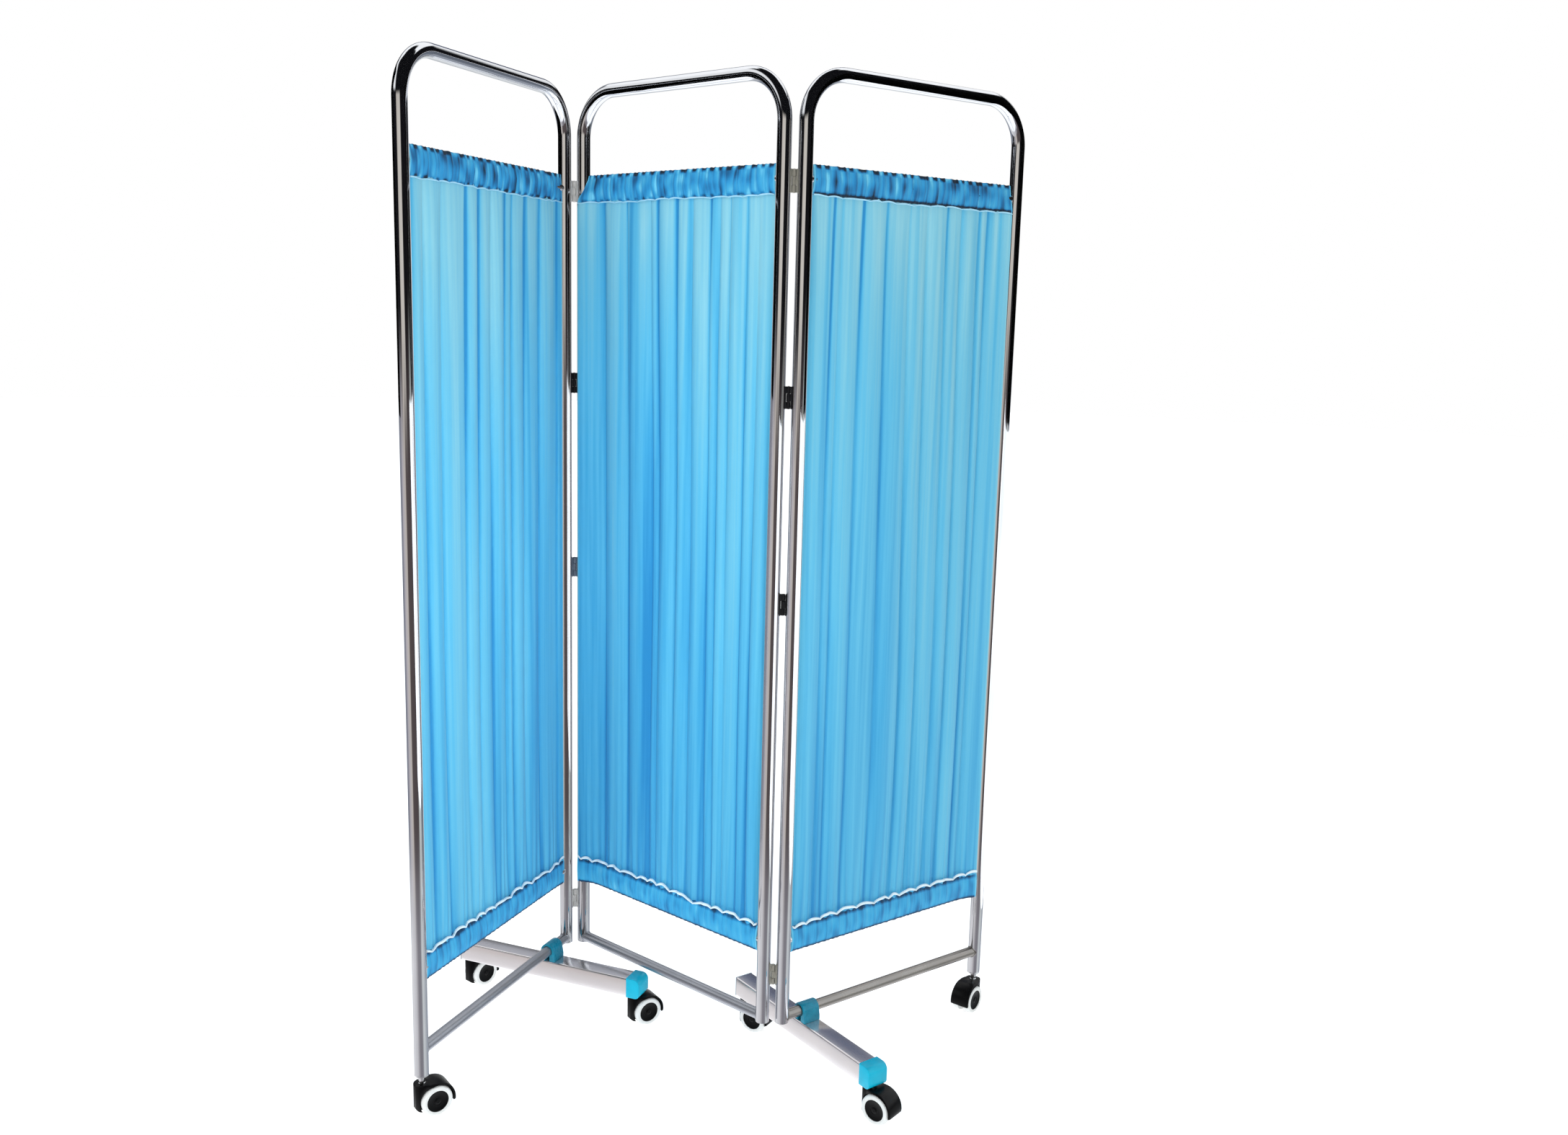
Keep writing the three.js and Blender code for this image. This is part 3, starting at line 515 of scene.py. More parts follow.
def shift(bm, x, y, z):
    bmesh.ops.translate(bm, verts=bm.verts, vec=(x, y, z))
    return bm


def turn_all(bm, degrees, axis):
    bmesh.ops.rotate(bm, verts=bm.verts, cent=(0, 0, 0), matrix=rotation(degrees, axis).to_3x3())
    return bm


def quarter_bend(bm, edges, centre, steps):
    made = bmesh.ops.spin(bm, geom=edges, cent=centre, axis=(0, 1, 0), angle=math.radians(90), steps=steps)
    return [e for e in made["geom_last"] if isinstance(e, bmesh.types.BMEdge)]


def bore(bm, faces, wall, along):
    bmesh.ops.inset_region(bm, faces=faces, thickness=wall, use_even_offset=True)
    push_out(bm, faces, along)
    bmesh.ops.delete(bm, geom=faces, context="FACES")


# %% The three frames
POST_RADIUS = 12.5 * MM
POST_WALL = 1.5 * MM
SCREEN_HEIGHT = 1800 * MM
CORNER_RADIUS = 80 * MM
POST_SIDES = 32
BEND_STEPS = 20
BORE_DEPTH = 46 * MM
INNER_BOTTOM = 113 * MM
OUTER_BOTTOM = 79 * MM
POST_BOTTOMS = {
    "left": (OUTER_BOTTOM, INNER_BOTTOM),
    "middle": (INNER_BOTTOM, INNER_BOTTOM),
    "right": (INNER_BOTTOM, OUTER_BOTTOM),
}


def bent_frame(bottom_a, bottom_b):
    bm = bmesh.new()
    bmesh.ops.create_circle(bm, segments=POST_SIDES, radius=POST_RADIUS,
                            matrix=Matrix.Translation((0, 0, bottom_a)))
    start = ring = bm.edges[:]
    bend_height = SCREEN_HEIGHT - POST_RADIUS - CORNER_RADIUS
    ring = pull(bm, ring, (0, 0, bend_height - bottom_a))
    ring = quarter_bend(bm, ring, (CORNER_RADIUS, 0, bend_height), BEND_STEPS)
    ring = pull(bm, ring, (PANEL_WIDTH - CORNER_RADIUS * 2, 0, 0))
    ring = quarter_bend(bm, ring, (PANEL_WIDTH - CORNER_RADIUS, 0, bend_height), BEND_STEPS)
    end = pull(bm, ring, (0, 0, bottom_b - bend_height))
    for edges in (start, end):
        bore(bm, bmesh.ops.edgeloop_fill(bm, edges=edges)["faces"], POST_WALL, (0, 0, BORE_DEPTH))
    return bm


for side, bottoms in POST_BOTTOMS.items():
    piece = finish_piece(f"bent_frame_{side}", bent_frame(*bottoms), chromed_tube, PANELS[side],
                         PANEL_BODY[side], [f"frame_tube_{side}"])
    print(piece.name, len(piece.data.polygons), "faces")

# %% [markdown]
# ## Bottom rails and their welds
# The rail is a thinner tube, notched at both ends so that it sits round the posts, and welded.
# A turned ring whose points are pushed along the rail by the post's roundness gives the notch,
# and a ring of small round section pushed the same way is the bead of weld, with its ripples.

# %% Bottom rails
RAIL_RADIUS = 10 * MM
RAIL_HEIGHT = 123 * MM
RAIL_SIDES = 28
WELD_BEAD = 1.5 * MM
WELD_RIPPLES = 26


def post_reach(y):
    return math.sqrt(max(POST_RADIUS ** 2 - y ** 2, 0))


def cross_bar():
    bm = pulled_tube(RAIL_SIDES, RAIL_RADIUS, (PANEL_WIDTH, 0, 0), 1, rotation(90, "Y"))
    for vert in bm.verts:
        reach = post_reach(vert.co.y)
        vert.co.x += reach if vert.co.x < PANEL_WIDTH / 2 else -reach
    bmesh.ops.holes_fill(bm, edges=bm.edges)
    return shift(bm, 0, 0, RAIL_HEIGHT)


def spun(bm, geom, axis, steps):
    bmesh.ops.spin(bm, geom=geom, cent=(0, 0, 0), axis=axis, angle=math.tau, steps=steps, use_merge=True)


def weld_bead(at_far_end):
    bm = bmesh.new()
    section = Matrix.Translation((0, 0, RAIL_RADIUS)) @ rotation(90, "X")
    bmesh.ops.create_circle(bm, segments=10, radius=WELD_BEAD, matrix=section)
    spun(bm, bm.verts[:] + bm.edges[:], (1, 0, 0), 72)
    for vert in bm.verts:
        around = math.atan2(vert.co.z, vert.co.y)
        swell = 1 + 0.02 * math.sin(around * WELD_RIPPLES)
        vert.co.y *= swell
        vert.co.z *= swell
        vert.co.x += post_reach(vert.co.y)
        if at_far_end:
            vert.co.x = PANEL_WIDTH - vert.co.x
    return shift(bm, 0, 0, RAIL_HEIGHT)


def merged(parts):
    whole = bmesh.new()
    for part in parts:
        mesh = bpy.data.meshes.new("part")
        part.to_mesh(mesh)
        part.free()
        whole.from_mesh(mesh)
        bpy.data.meshes.remove(mesh)
    return whole


for side in PANELS:
    for name, bm, nodes in (("welded_rail", cross_bar(), [f"bottom_rail_{side}"]),
                            ("rail_weld_beads", merged([weld_bead(False), weld_bead(True)]), ())):
        finish_piece(f"{name}_{side}", bm, RAIL_FINISH[side], PANELS[side], PANEL_BODY[side],
                     nodes)

# %% [markdown]
# ## Curtain rods
# A thin rod runs inside each casing of the curtain, with a short ferrule at each end against the
# post. A turned profile, spun about the rod's axis, makes rod and ferrules at once.

# %% Curtain rods
ROD_RADIUS = 4 * MM
FERRULE_RADIUS = 5.8 * MM
FERRULE_LENGTH = 9 * MM
CURTAIN_TOP = 1641 * MM
CURTAIN_BOTTOM = 246 * MM
BAND_HEIGHT = 50 * MM
ROD_HEIGHTS = {"lower": CURTAIN_BOTTOM + BAND_HEIGHT / 2, "upper": CURTAIN_TOP - BAND_HEIGHT / 2}
TURNS_FROM_Z = {"X": (90, "Y"), "Y": (-90, "X")}


def turned(profile, steps, axis="Z"):
    bm = bmesh.new()
    chain = [bm.verts.new((radius, 0, along)) for radius, along in profile]
    edges = [bm.edges.new(pair) for pair in zip(chain, chain[1:])]
    spun(bm, chain + edges, (0, 0, 1), steps)
    bmesh.ops.remove_doubles(bm, verts=bm.verts, dist=MERGE)
    if axis in TURNS_FROM_Z:
        turn_all(bm, *TURNS_FROM_Z[axis])
    return bm


def curtain_rod(height):
    start = POST_RADIUS - 1 * MM
    lip = 0.6 * MM
    half = [
        (0, start), (FERRULE_RADIUS, start), (FERRULE_RADIUS, POST_RADIUS + FERRULE_LENGTH - lip),
        (FERRULE_RADIUS - lip, POST_RADIUS + FERRULE_LENGTH), (ROD_RADIUS, POST_RADIUS + FERRULE_LENGTH),
    ]
    mirrored = [(radius, PANEL_WIDTH - along) for radius, along in reversed(half)]
    return shift(turned(half + mirrored, 20, "X"), 0, 0, height)


for side in PANELS:
    for level, height in ROD_HEIGHTS.items():
        finish_piece(f"rod_with_ferrules_{level}_{side}", curtain_rod(height), rod_steel, PANELS[side],
                     PANEL_BODY[side], [f"curtain_rod_{level}_{side}"])

# %% [markdown]
# ## Hinges
# Four small barrel hinges join each pair of posts. One post carries two short tubes with the
# pin through them, the other carries the tube between them, and each tube is welded on with a
# narrow pad. The barrels are turned profiles with broken edges, and the pads are bevelled blocks.

# %% Hinge leaves
HINGE_REACH = 18 * MM
HINGE_ANGLE = math.radians(43)
HINGE_HEIGHT = 38 * MM
HINGE_LEVELS = [1612 * MM, 1256 * MM, 897 * MM, 205 * MM]
KNUCKLE_RADIUS = 3.7 * MM
KNUCKLE_END = 12 * MM
RUNNING_GAP = 0.3 * MM
PIN_RADIUS = 2.1 * MM
PIN_HOLE = 2 * MM
BEAD_ASIDE = 4.6 * MM
BEAD_RADIUS = 1.1 * MM
BEAD_PITCH = 3 * MM
BEAD_STEPS = 26
PIN_ALONG = HINGE_REACH * math.cos(HINGE_ANGLE)
PIN_ASIDE = HINGE_REACH * math.sin(HINGE_ANGLE)


def knuckle(bottom, top):
    lip = 0.5 * MM
    return turned([
        (PIN_HOLE, bottom), (KNUCKLE_RADIUS - lip, bottom), (KNUCKLE_RADIUS, bottom + lip),
        (KNUCKLE_RADIUS, top - lip), (KNUCKLE_RADIUS - lip, top), (PIN_HOLE, top),
    ], 24)


def pad(inner, outer, inner_half, outer_half, bottom, top):
    bm = bmesh.new()
    bmesh.ops.create_cube(bm, size=1)
    for vert in bm.verts:
        near = vert.co.x > 0
        half = inner_half if near else outer_half
        vert.co = (inner if near else outer, math.copysign(half, vert.co.y),
                   top if vert.co.z > 0 else bottom)
    round_edges(bm, bm.edges[:], 0.45 * MM, 2)
    return bm


def bead_upright(x, y, bottom, top):
    bm = pulled_tube(10, BEAD_RADIUS, (0, 0, (top - bottom) / BEAD_STEPS), BEAD_STEPS,
                     Matrix.Translation((x, y, bottom)))
    for vert in bm.verts:
        swell = 1 + 0.12 * math.sin((vert.co.z - bottom) / BEAD_PITCH * math.tau)
        vert.co.x = x + (vert.co.x - x) * swell
        vert.co.y = y + (vert.co.y - y) * swell
    close_ends(bm)
    return bm


def welded_pad(levels):
    clear = -KNUCKLE_RADIUS - RUNNING_GAP
    half = HINGE_HEIGHT / 2
    parts = [pad(clear - 0.05 * MM, -7.4 * MM, 3.1 * MM, BEAD_ASIDE, -half, half)]
    for bottom, top in levels:
        parts.append(pad(-2.4 * MM, clear - 1 * MM, 2.5 * MM, 2.9 * MM, bottom, top))
    for y in (-BEAD_ASIDE, BEAD_ASIDE):
        parts.append(bead_upright(-6.4 * MM, y, -half, half))
    return parts


def pin_leaf():
    half = HINGE_HEIGHT / 2
    middle = half - KNUCKLE_END
    spans = [(-half, -middle), (middle, half)]
    pin = turned([
        (0, -half - 0.7 * MM), (1.6 * MM, -half - 0.4 * MM), (PIN_RADIUS, -half),
        (PIN_RADIUS, half), (1.6 * MM, half + 0.4 * MM), (0, half + 0.7 * MM),
    ], 16)
    return merged([*[knuckle(*span) for span in spans], pin, *welded_pad(spans)])


def knuckle_leaf():
    middle = HINGE_HEIGHT / 2 - KNUCKLE_END - RUNNING_GAP
    return merged([knuckle(-middle, middle), *welded_pad([(-middle, middle)])])


# %% The eight hinges
LEAVES = [
    ("left", "pin_leaf", "middle", 0, -PIN_ALONG, -PIN_ASIDE),
    ("right", "pin_leaf", "middle", PANEL_WIDTH, PANEL_WIDTH + PIN_ALONG, PIN_ASIDE),
    ("left", "knuckle_leaf", "left", PANEL_WIDTH, PANEL_WIDTH + PIN_ALONG, -PIN_ASIDE),
    ("right", "knuckle_leaf", "right", 0, -PIN_ALONG, PIN_ASIDE),
]
# The lighter and darker plated copies and the blue-grey enamel are painted reflection on hinges that are
# all of one kind.
HINGE_FINISH = {
    "left": (hinge_plating_painted_light, black_paint, black_enamel_painted_blue_grey, hinge_plating_painted_light),
    "right": (hinge_plating_painted_dark, black_paint, black_paint, hinge_plating_painted_dark),
}
for gap, kind, side, post_x, pin_x, pin_y in LEAVES:
    turn = math.atan2(-pin_y, post_x - pin_x) + math.pi
    for number, level in enumerate(HINGE_LEVELS, 1):
        place = PANELS[side] @ Matrix.Translation((pin_x, pin_y, level)) @ Matrix.Rotation(turn, 4, "Z")
        leaf = pin_leaf() if kind == "pin_leaf" else knuckle_leaf()
        slot = "hinge_black" if number in (2, 3) else "hinge_plated"
        finish_piece(f"welded_{kind}_{gap}_{number}", leaf, HINGE_FINISH[gap][number - 1], place,
                     PANEL_BODY[side], [f"hinge_{gap}_{number}_{kind}"])
print("hinge leaves", len(LEAVES) * len(HINGE_LEVELS))

# %% [markdown]
# ## Feet
# A foot is a length of square tube lying across under the wing. The tube starts as a cube whose
# four long edges are rounded, and its two end faces are set in to show the wall. The moulded
# pieces are side outlines pushed out to their width. Two numbers draw a straight run to a point,
# and three spin the last point round a centre by so many degrees.

# %% Outlines pushed to a solid
def outline_solid(start, moves, half, edge, steps=8):
    bm = bmesh.new()
    pen = bm.verts.new((start[0], 0, start[1]))
    for x, z, *degrees in moves:
        if degrees:
            made = bmesh.ops.spin(bm, geom=[pen], cent=(x, 0, z), axis=(0, -1, 0),
                                  angle=math.radians(degrees[0]), steps=steps)
            pen = verts_in(made["geom_last"])[0]
        else:
            new = bm.verts.new((x, 0, z))
            bm.edges.new((pen, new))
            pen = new
    bmesh.ops.remove_doubles(bm, verts=bm.verts, dist=MERGE)
    loose = [v for v in bm.verts if len(v.link_edges) == 1]
    if loose:
        bm.edges.new(loose)
    face = bmesh.ops.contextual_create(bm, geom=bm.edges[:])["faces"]
    shift(bm, 0, -half, 0)
    push_out(bm, face, (0, half * 2, 0))
    bmesh.ops.recalc_face_normals(bm, faces=bm.faces)
    if edge:
        rims = [e for e in bm.edges if abs(e.verts[0].co.y - e.verts[1].co.y) < 1e-7]
        round_edges(bm, rims, edge, 3, clamp=True)
    return bm


CARVED_SHARP = 38


def carved(body, tools, operation="DIFFERENCE", edge=0.0):
    base = mesh_object("carved_body", body, chromed_tube)
    cutters = [mesh_object("cutter", tool, chromed_tube) for tool in tools]
    for cutter in cutters:
        cut = base.modifiers.new("cut", "BOOLEAN")
        cut.operation = operation
        cut.solver = "EXACT"
        cut.object = cutter
    if edge:
        rounding = base.modifiers.new("rounding", "BEVEL")
        rounding.limit_method = "ANGLE"
        rounding.angle_limit = math.radians(CARVED_SHARP)
        rounding.width = edge
        rounding.segments = 2
    bpy.context.view_layer.update()
    mesh = bpy.data.meshes.new_from_object(base.evaluated_get(bpy.context.evaluated_depsgraph_get()))
    made = bmesh.new()
    made.from_mesh(mesh)
    bpy.data.meshes.remove(mesh)
    for used in [base, *cutters]:
        used_mesh = used.data
        bpy.data.objects.remove(used)
        bpy.data.meshes.remove(used_mesh)
    return made


def block(width, depth, height, place, edge=0.0):
    bm = bmesh.new()
    size = Matrix.Diagonal((width, depth, height, 1))
    bmesh.ops.create_cube(bm, size=1, matrix=Matrix.Translation(place) @ size)
    if edge:
        round_edges(bm, bm.edges[:], edge, 3)
    return bm


# %% The square tube
FOOT_SETBACK = 58 * MM
FOOT_LENGTH = 404 * MM
FOOT_SHIFT = 2 * MM
FOOT_WIDTH = 38 * MM
FOOT_WALL = 2 * MM
FOOT_CORNER = 3 * MM
FOOT_TOP = 102 * MM
FOOT_BOTTOM = FOOT_TOP - FOOT_WIDTH
SEAT_GAP = 0.3 * MM
FEET = {"left": PANEL_WIDTH - FOOT_SETBACK, "right": FOOT_SETBACK}


def square_tube():
    bm = block(FOOT_WIDTH, FOOT_LENGTH, FOOT_WIDTH, (0, 0, 0))
    long_edges = [e for e in bm.edges if abs(e.verts[0].co.y - e.verts[1].co.y) > FOOT_LENGTH / 2]
    round_edges(bm, long_edges, FOOT_CORNER, 5)
    for end in (-1, 1):
        faces = [f for f in bm.faces if all(v.co.y * end > FOOT_LENGTH * 0.49 for v in f.verts)]
        bore(bm, faces, FOOT_WALL, (0, -end * FOOT_LENGTH * 0.45, 0))
    return shift(bm, 0, 0, FOOT_TOP - FOOT_WIDTH / 2)


# %% Cap, plug and saddle
CAP_WALL = 1.6 * MM
CAP_LENGTH = 20 * MM
CAP_END = 8 * MM
CAP_ROUND = 12 * MM
CAP_LOWER_ROUND = 9 * MM
SADDLE_HALF = 17 * MM
SADDLE_SHOULDER = 8 * MM


def foot_cap():
    top = FOOT_WIDTH + SEAT_GAP + CAP_WALL
    front = -SEAT_GAP - CAP_END
    half = FOOT_WIDTH / 2 + SEAT_GAP + CAP_WALL
    shell = outline_solid((CAP_LENGTH, top), [
        (front + CAP_ROUND, top),
        (front + CAP_ROUND, top - CAP_ROUND, 90),
        (front, CAP_LOWER_ROUND),
        (front + CAP_LOWER_ROUND, CAP_LOWER_ROUND, 90),
        (CAP_LENGTH, 0),
    ], half, 1.2 * MM)
    hollow = block(CAP_LENGTH + 4 * MM, FOOT_WIDTH + SEAT_GAP * 2, FOOT_WIDTH + 4 * MM,
                   (CAP_LENGTH / 2 + 2 * MM - SEAT_GAP, 0, FOOT_WIDTH / 2 - 2 * MM + SEAT_GAP))
    return shift(turn_all(carved(shell, [hollow]), 90, "Z"), 0, -FOOT_LENGTH / 2, FOOT_BOTTOM)


def foot_plug():
    height = FOOT_TOP - FOOT_WIDTH / 2
    end = FOOT_LENGTH / 2
    inner = FOOT_WIDTH - (FOOT_WALL + SEAT_GAP) * 2
    plate = block(FOOT_WIDTH, 2.5 * MM, FOOT_WIDTH, (0, end + SEAT_GAP + 1.25 * MM, height), 1 * MM)
    body = block(inner, 4.4 * MM, inner, (0, end - 1.8 * MM, height), 0.6 * MM)
    return merged([plate, body])


def rail_saddle():
    bottom = FOOT_TOP + SEAT_GAP - RAIL_HEIGHT
    hole = RAIL_RADIUS + SEAT_GAP
    arch = hole + 4.2 * MM
    slot_half = 5 * MM
    slot_degrees = math.degrees(math.asin(slot_half / hole))
    bm = outline_solid((slot_half, bottom), [
        (SADDLE_HALF, bottom),
        (SADDLE_HALF, bottom + SADDLE_SHOULDER),
        (arch, 0),
        (0, 0, 180),
        (-SADDLE_HALF, bottom + SADDLE_SHOULDER),
        (-SADDLE_HALF, bottom),
        (-slot_half, bottom),
        (-slot_half, -hole * math.cos(math.radians(slot_degrees))),
        (0, 0, slot_degrees * 2 - 360),
    ], 18 * MM, 0.9 * MM, steps=24)
    return shift(turn_all(bm, 90, "Z"), 0, 0, RAIL_HEIGHT)


for side, foot_x in FEET.items():
    under_rail = PANELS[side] @ Matrix.Translation((foot_x, 0, 0))
    place = under_rail @ Matrix.Translation((0, FOOT_SHIFT, 0))
    for name, bm, material, stand, slot, node in (
        ("square_tube_foot", square_tube(), satin_silver, place, "foot_tube", "foot_beam"),
        ("moulded_cap", foot_cap(), cap_teal, place, "teal_moulding", "foot_cap"),
        ("end_plug", foot_plug(), plug_grey, place, "grey_plug", "foot_plug"),
        ("moulded_saddle", rail_saddle(), saddle_teal, under_rail, "teal_moulding", "rail_saddle"),
    ):
        finish_piece(f"{name}_{side}", bm, material, stand, PANEL_BODY[side], [f"{node}_{side}"])

# %% [markdown]
# ## Castors
# A twin-wheel castor has one moulded hood over both wheels. The hood is carved as its mould
# would be: a side outline pushed to full width, rounded in plan round the stem, and hollowed by
# a drum on each side for the wheels. One hood is carved, and the six castors copy it.

# %% The hood
CASTOR_FRONT_INSET = 10 * MM
CASTOR_REAR_INSET = 14 * MM
SWIVEL_TRAIL = 21 * MM
AXLE_HEIGHT = 27.76 * MM
HOOD_INNER = 30 * MM
HOOD_OUTER = 33.3 * MM
HOOD_TOP = AXLE_HEIGHT + HOOD_OUTER
HOOD_HALF = 20 * MM
WEB_HALF = 6 * MM
NOSE_RADIUS = 15 * MM
NOSE_BOTTOM = 13 * MM
NOSE_ROUND = 8 * MM
STEM_FOOT = 16.6 * MM
STEM_HOLE = 4.3 * MM
NOSE_TOP_ROUND = 3 * MM
HOOD_TAIL_DROP = 9
WHEEL_DRUM = 30 * MM


def drum(radius, middle, length, axis, sides=64):
    bm = bmesh.new()
    turn = rotation(90, "X") if axis == "Y" else Matrix.Identity(4)
    bmesh.ops.create_cone(bm, cap_ends=True, segments=sides, radius1=radius, radius2=radius, depth=length,
                          matrix=Matrix.Translation(middle) @ turn)
    return bm


def hood():
    rear = math.radians(-HOOD_TAIL_DROP)
    side = outline_solid(
        (SWIVEL_TRAIL + HOOD_OUTER * math.cos(rear), AXLE_HEIGHT + HOOD_OUTER * math.sin(rear)), [
            (SWIVEL_TRAIL, AXLE_HEIGHT, 90 + HOOD_TAIL_DROP),
            (-NOSE_RADIUS + NOSE_TOP_ROUND, HOOD_TOP),
            (-NOSE_RADIUS + NOSE_TOP_ROUND, HOOD_TOP - NOSE_TOP_ROUND, 90),
            (-NOSE_RADIUS, NOSE_BOTTOM + NOSE_ROUND),
            (NOSE_ROUND - NOSE_RADIUS, NOSE_BOTTOM + NOSE_ROUND, 90),
            (SWIVEL_TRAIL + 9 * MM, NOSE_BOTTOM),
        ], HOOD_HALF, 2.4 * MM, steps=24)
    shoulder = math.sqrt(SWIVEL_TRAIL ** 2 - NOSE_RADIUS ** 2)
    past_tail = 70 * MM
    plan = outline_solid((0, NOSE_RADIUS), [
        (0, 0, 180),
        (shoulder, -HOOD_HALF),
        (past_tail, -HOOD_HALF - 0.1 * MM),
        (past_tail, HOOD_HALF + 0.1 * MM),
        (shoulder, HOOD_HALF),
    ], 80 * MM, 0, steps=24)
    rounded = carved(side, [turn_all(plan, 90, "X")], "INTERSECT")
    aside = WEB_HALF + WHEEL_DRUM / 2
    tools = [drum(HOOD_INNER, (SWIVEL_TRAIL, y, AXLE_HEIGHT), WHEEL_DRUM, "Y") for y in (-aside, aside)]
    tools.append(drum(STEM_HOLE, (0, 0, HOOD_TOP), (HOOD_TOP - STEM_FOOT) * 2, "Z", 24))
    return carved(rounded, tools, edge=0.5 * MM)


hood_bm = hood()
hood_mesh = bpy.data.meshes.new("hood_pattern")
hood_bm.to_mesh(hood_mesh)
print("hood faces", len(hood_bm.faces), "open edges", sum(not e.is_manifold for e in hood_bm.edges))
hood_bm.free()

# %% [markdown]
# ### Wheels and stems
# Tyre and hub are turned profiles about the axle. The tyre's tread is slightly crowned, so
# that it rolls on its middle, and the hub lies a little below the tyre's side and has a raised
# boss at its centre. Stems are turned too: a bolt with washer and nut through the foot, or a
# sleeve with a collar in the end of a post.

# %% Wheels
WHEEL_INNER = 6.6 * MM
WHEEL_OUTER = 20 * MM
HUB_RADIUS = 19.5 * MM
AXLE_RADIUS = 3 * MM
AXLE_LENGTH = 30 * MM


def both_sides(bm):
    geom = bm.verts[:] + bm.edges[:] + bm.faces[:]
    bmesh.ops.mirror(bm, geom=geom, axis="Y", merge_dist=0)
    return bm


def tyres():
    rim = AXLE_HEIGHT
    inner_edge = ((-2, 0), (-0.6, 0.5), (-0.15, 1.6), (0, 4))
    outer_edge = ((0, -5), (-0.3, -2.8), (-1.2, -1.2), (-2.6, -0.3),
                  (-4, 0), (-5.4, 0), (-5.8, -0.5), (-6.2, 0))
    return both_sides(turned([
        (HUB_RADIUS, WHEEL_INNER),
        *((rim + out * MM, WHEEL_INNER + along * MM) for out, along in inner_edge),
        *((rim + out * MM, WHEEL_OUTER + along * MM) for out, along in outer_edge),
        (HUB_RADIUS + 0.4 * MM, WHEEL_OUTER - 0.1 * MM),
        (HUB_RADIUS, WHEEL_OUTER - 0.6 * MM), (HUB_RADIUS, WHEEL_INNER),
    ], 64, "Y"))


def hubs():
    face = WHEEL_OUTER - 1.2 * MM
    relief = ((0, 0.6), (3.4, 0.6), (4, 0), (6, -0.6), (7.4, -0.6), (8, 0),
              (16.6, 0), (17.2, 0.4), (18.9, 0.4))
    return both_sides(turned([
        *((radius * MM, face + rise * MM) for radius, rise in relief),
        (HUB_RADIUS + 0.1 * MM, face - 0.2 * MM),
        (HUB_RADIUS + 0.1 * MM, WHEEL_INNER + 0.2 * MM), (0, WHEEL_INNER + 0.2 * MM),
    ], 48, "Y"))


# %% Stems
STEM_RADIUS = 4 * MM


def post_stem():
    collar_top = OUTER_BOTTOM - SEAT_GAP
    collar = 2.7 * MM
    sleeve = POST_RADIUS - POST_WALL - SEAT_GAP
    return turned([
        (0, STEM_FOOT), (STEM_RADIUS, STEM_FOOT), (STEM_RADIUS, HOOD_TOP - 0.5 * MM),
        (6.6 * MM, HOOD_TOP - 0.5 * MM), (6.6 * MM, HOOD_TOP + 1.5 * MM),
        (6 * MM, HOOD_TOP + 2.2 * MM), (6 * MM, collar_top - collar - 0.8 * MM),
        (6.8 * MM, collar_top - collar), (POST_RADIUS - 0.6 * MM, collar_top - collar),
        (POST_RADIUS, collar_top - collar + 0.6 * MM), (POST_RADIUS, collar_top - 0.4 * MM),
        (POST_RADIUS - 0.4 * MM, collar_top), (sleeve, collar_top), (sleeve, collar_top + 30 * MM),
        (0, collar_top + 30 * MM),
    ], 32)


def foot_stem():
    washer_top = FOOT_BOTTOM - SEAT_GAP
    nut_bottom = FOOT_BOTTOM + FOOT_WALL + SEAT_GAP
    shank = turned([
        (0, STEM_FOOT), (STEM_RADIUS, STEM_FOOT), (STEM_RADIUS, washer_top - 2 * MM),
        (9.6 * MM, washer_top - 2 * MM), (10 * MM, washer_top - 1.6 * MM), (10 * MM, washer_top - 0.4 * MM),
        (9.6 * MM, washer_top), (STEM_RADIUS, washer_top), (STEM_RADIUS, nut_bottom + 8 * MM),
        (0, nut_bottom + 8 * MM),
    ], 32)
    return merged([shank, drum(8 * MM, (0, 0, nut_bottom + 3 * MM), 6 * MM, "Z", 6)])


# %% The six castors
CASTOR_YAWS = {
    "left_outer": 36, "left_front": 35, "left_rear": 50,
    "right_front": 322, "right_rear": 330, "right_outer": 233,
}
for name, yaw in CASTOR_YAWS.items():
    side, end = name.split("_")
    if end == "outer":
        stem_point = Vector((0 if side == "left" else PANEL_WIDTH, 0, 0))
    else:
        half = FOOT_LENGTH / 2
        along_foot = CASTOR_FRONT_INSET - half if end == "front" else half - CASTOR_REAR_INSET
        stem_point = Vector((FEET[side], along_foot + FOOT_SHIFT, 0))
    upright = Matrix.Translation(PANELS[side] @ stem_point)
    trailing = upright @ rotation(yaw, "Z")
    rolling = trailing @ Matrix.Translation((SWIVEL_TRAIL, 0, AXLE_HEIGHT))
    swivel, wheelset = f"castor_{name}_swivel", f"castor_{name}_wheelset"
    stem = post_stem() if end == "outer" else foot_stem()
    hood_copy = bmesh.new()
    hood_copy.from_mesh(hood_mesh)
    axle = drum(AXLE_RADIUS, (0, 0, 0), AXLE_LENGTH, "Y", 20)
    for piece, bm, material, place, body, slot, node in (
        ("bright_stem", stem, stem_steel, upright, PANEL_BODY[side], "castor_stem", "stem"),
        ("moulded_hood", hood_copy, hood_black, trailing, swivel, "castor_hood", "hood"),
        ("twin_tyres", tyres(), tyre_white, rolling, wheelset, "castor_tyre", "wheels"),
        ("twin_hubs", hubs(), hub_black, rolling, wheelset, "castor_hood", None),
        ("steel_axle", axle, stem_steel, rolling, wheelset, "castor_stem", None),
    ):
        nodes = [f"castor_{name}_{node}"] if node else ()
        finish_piece(f"{piece}_{name}", bm, material, place, body, nodes)
bpy.data.meshes.remove(hood_mesh)

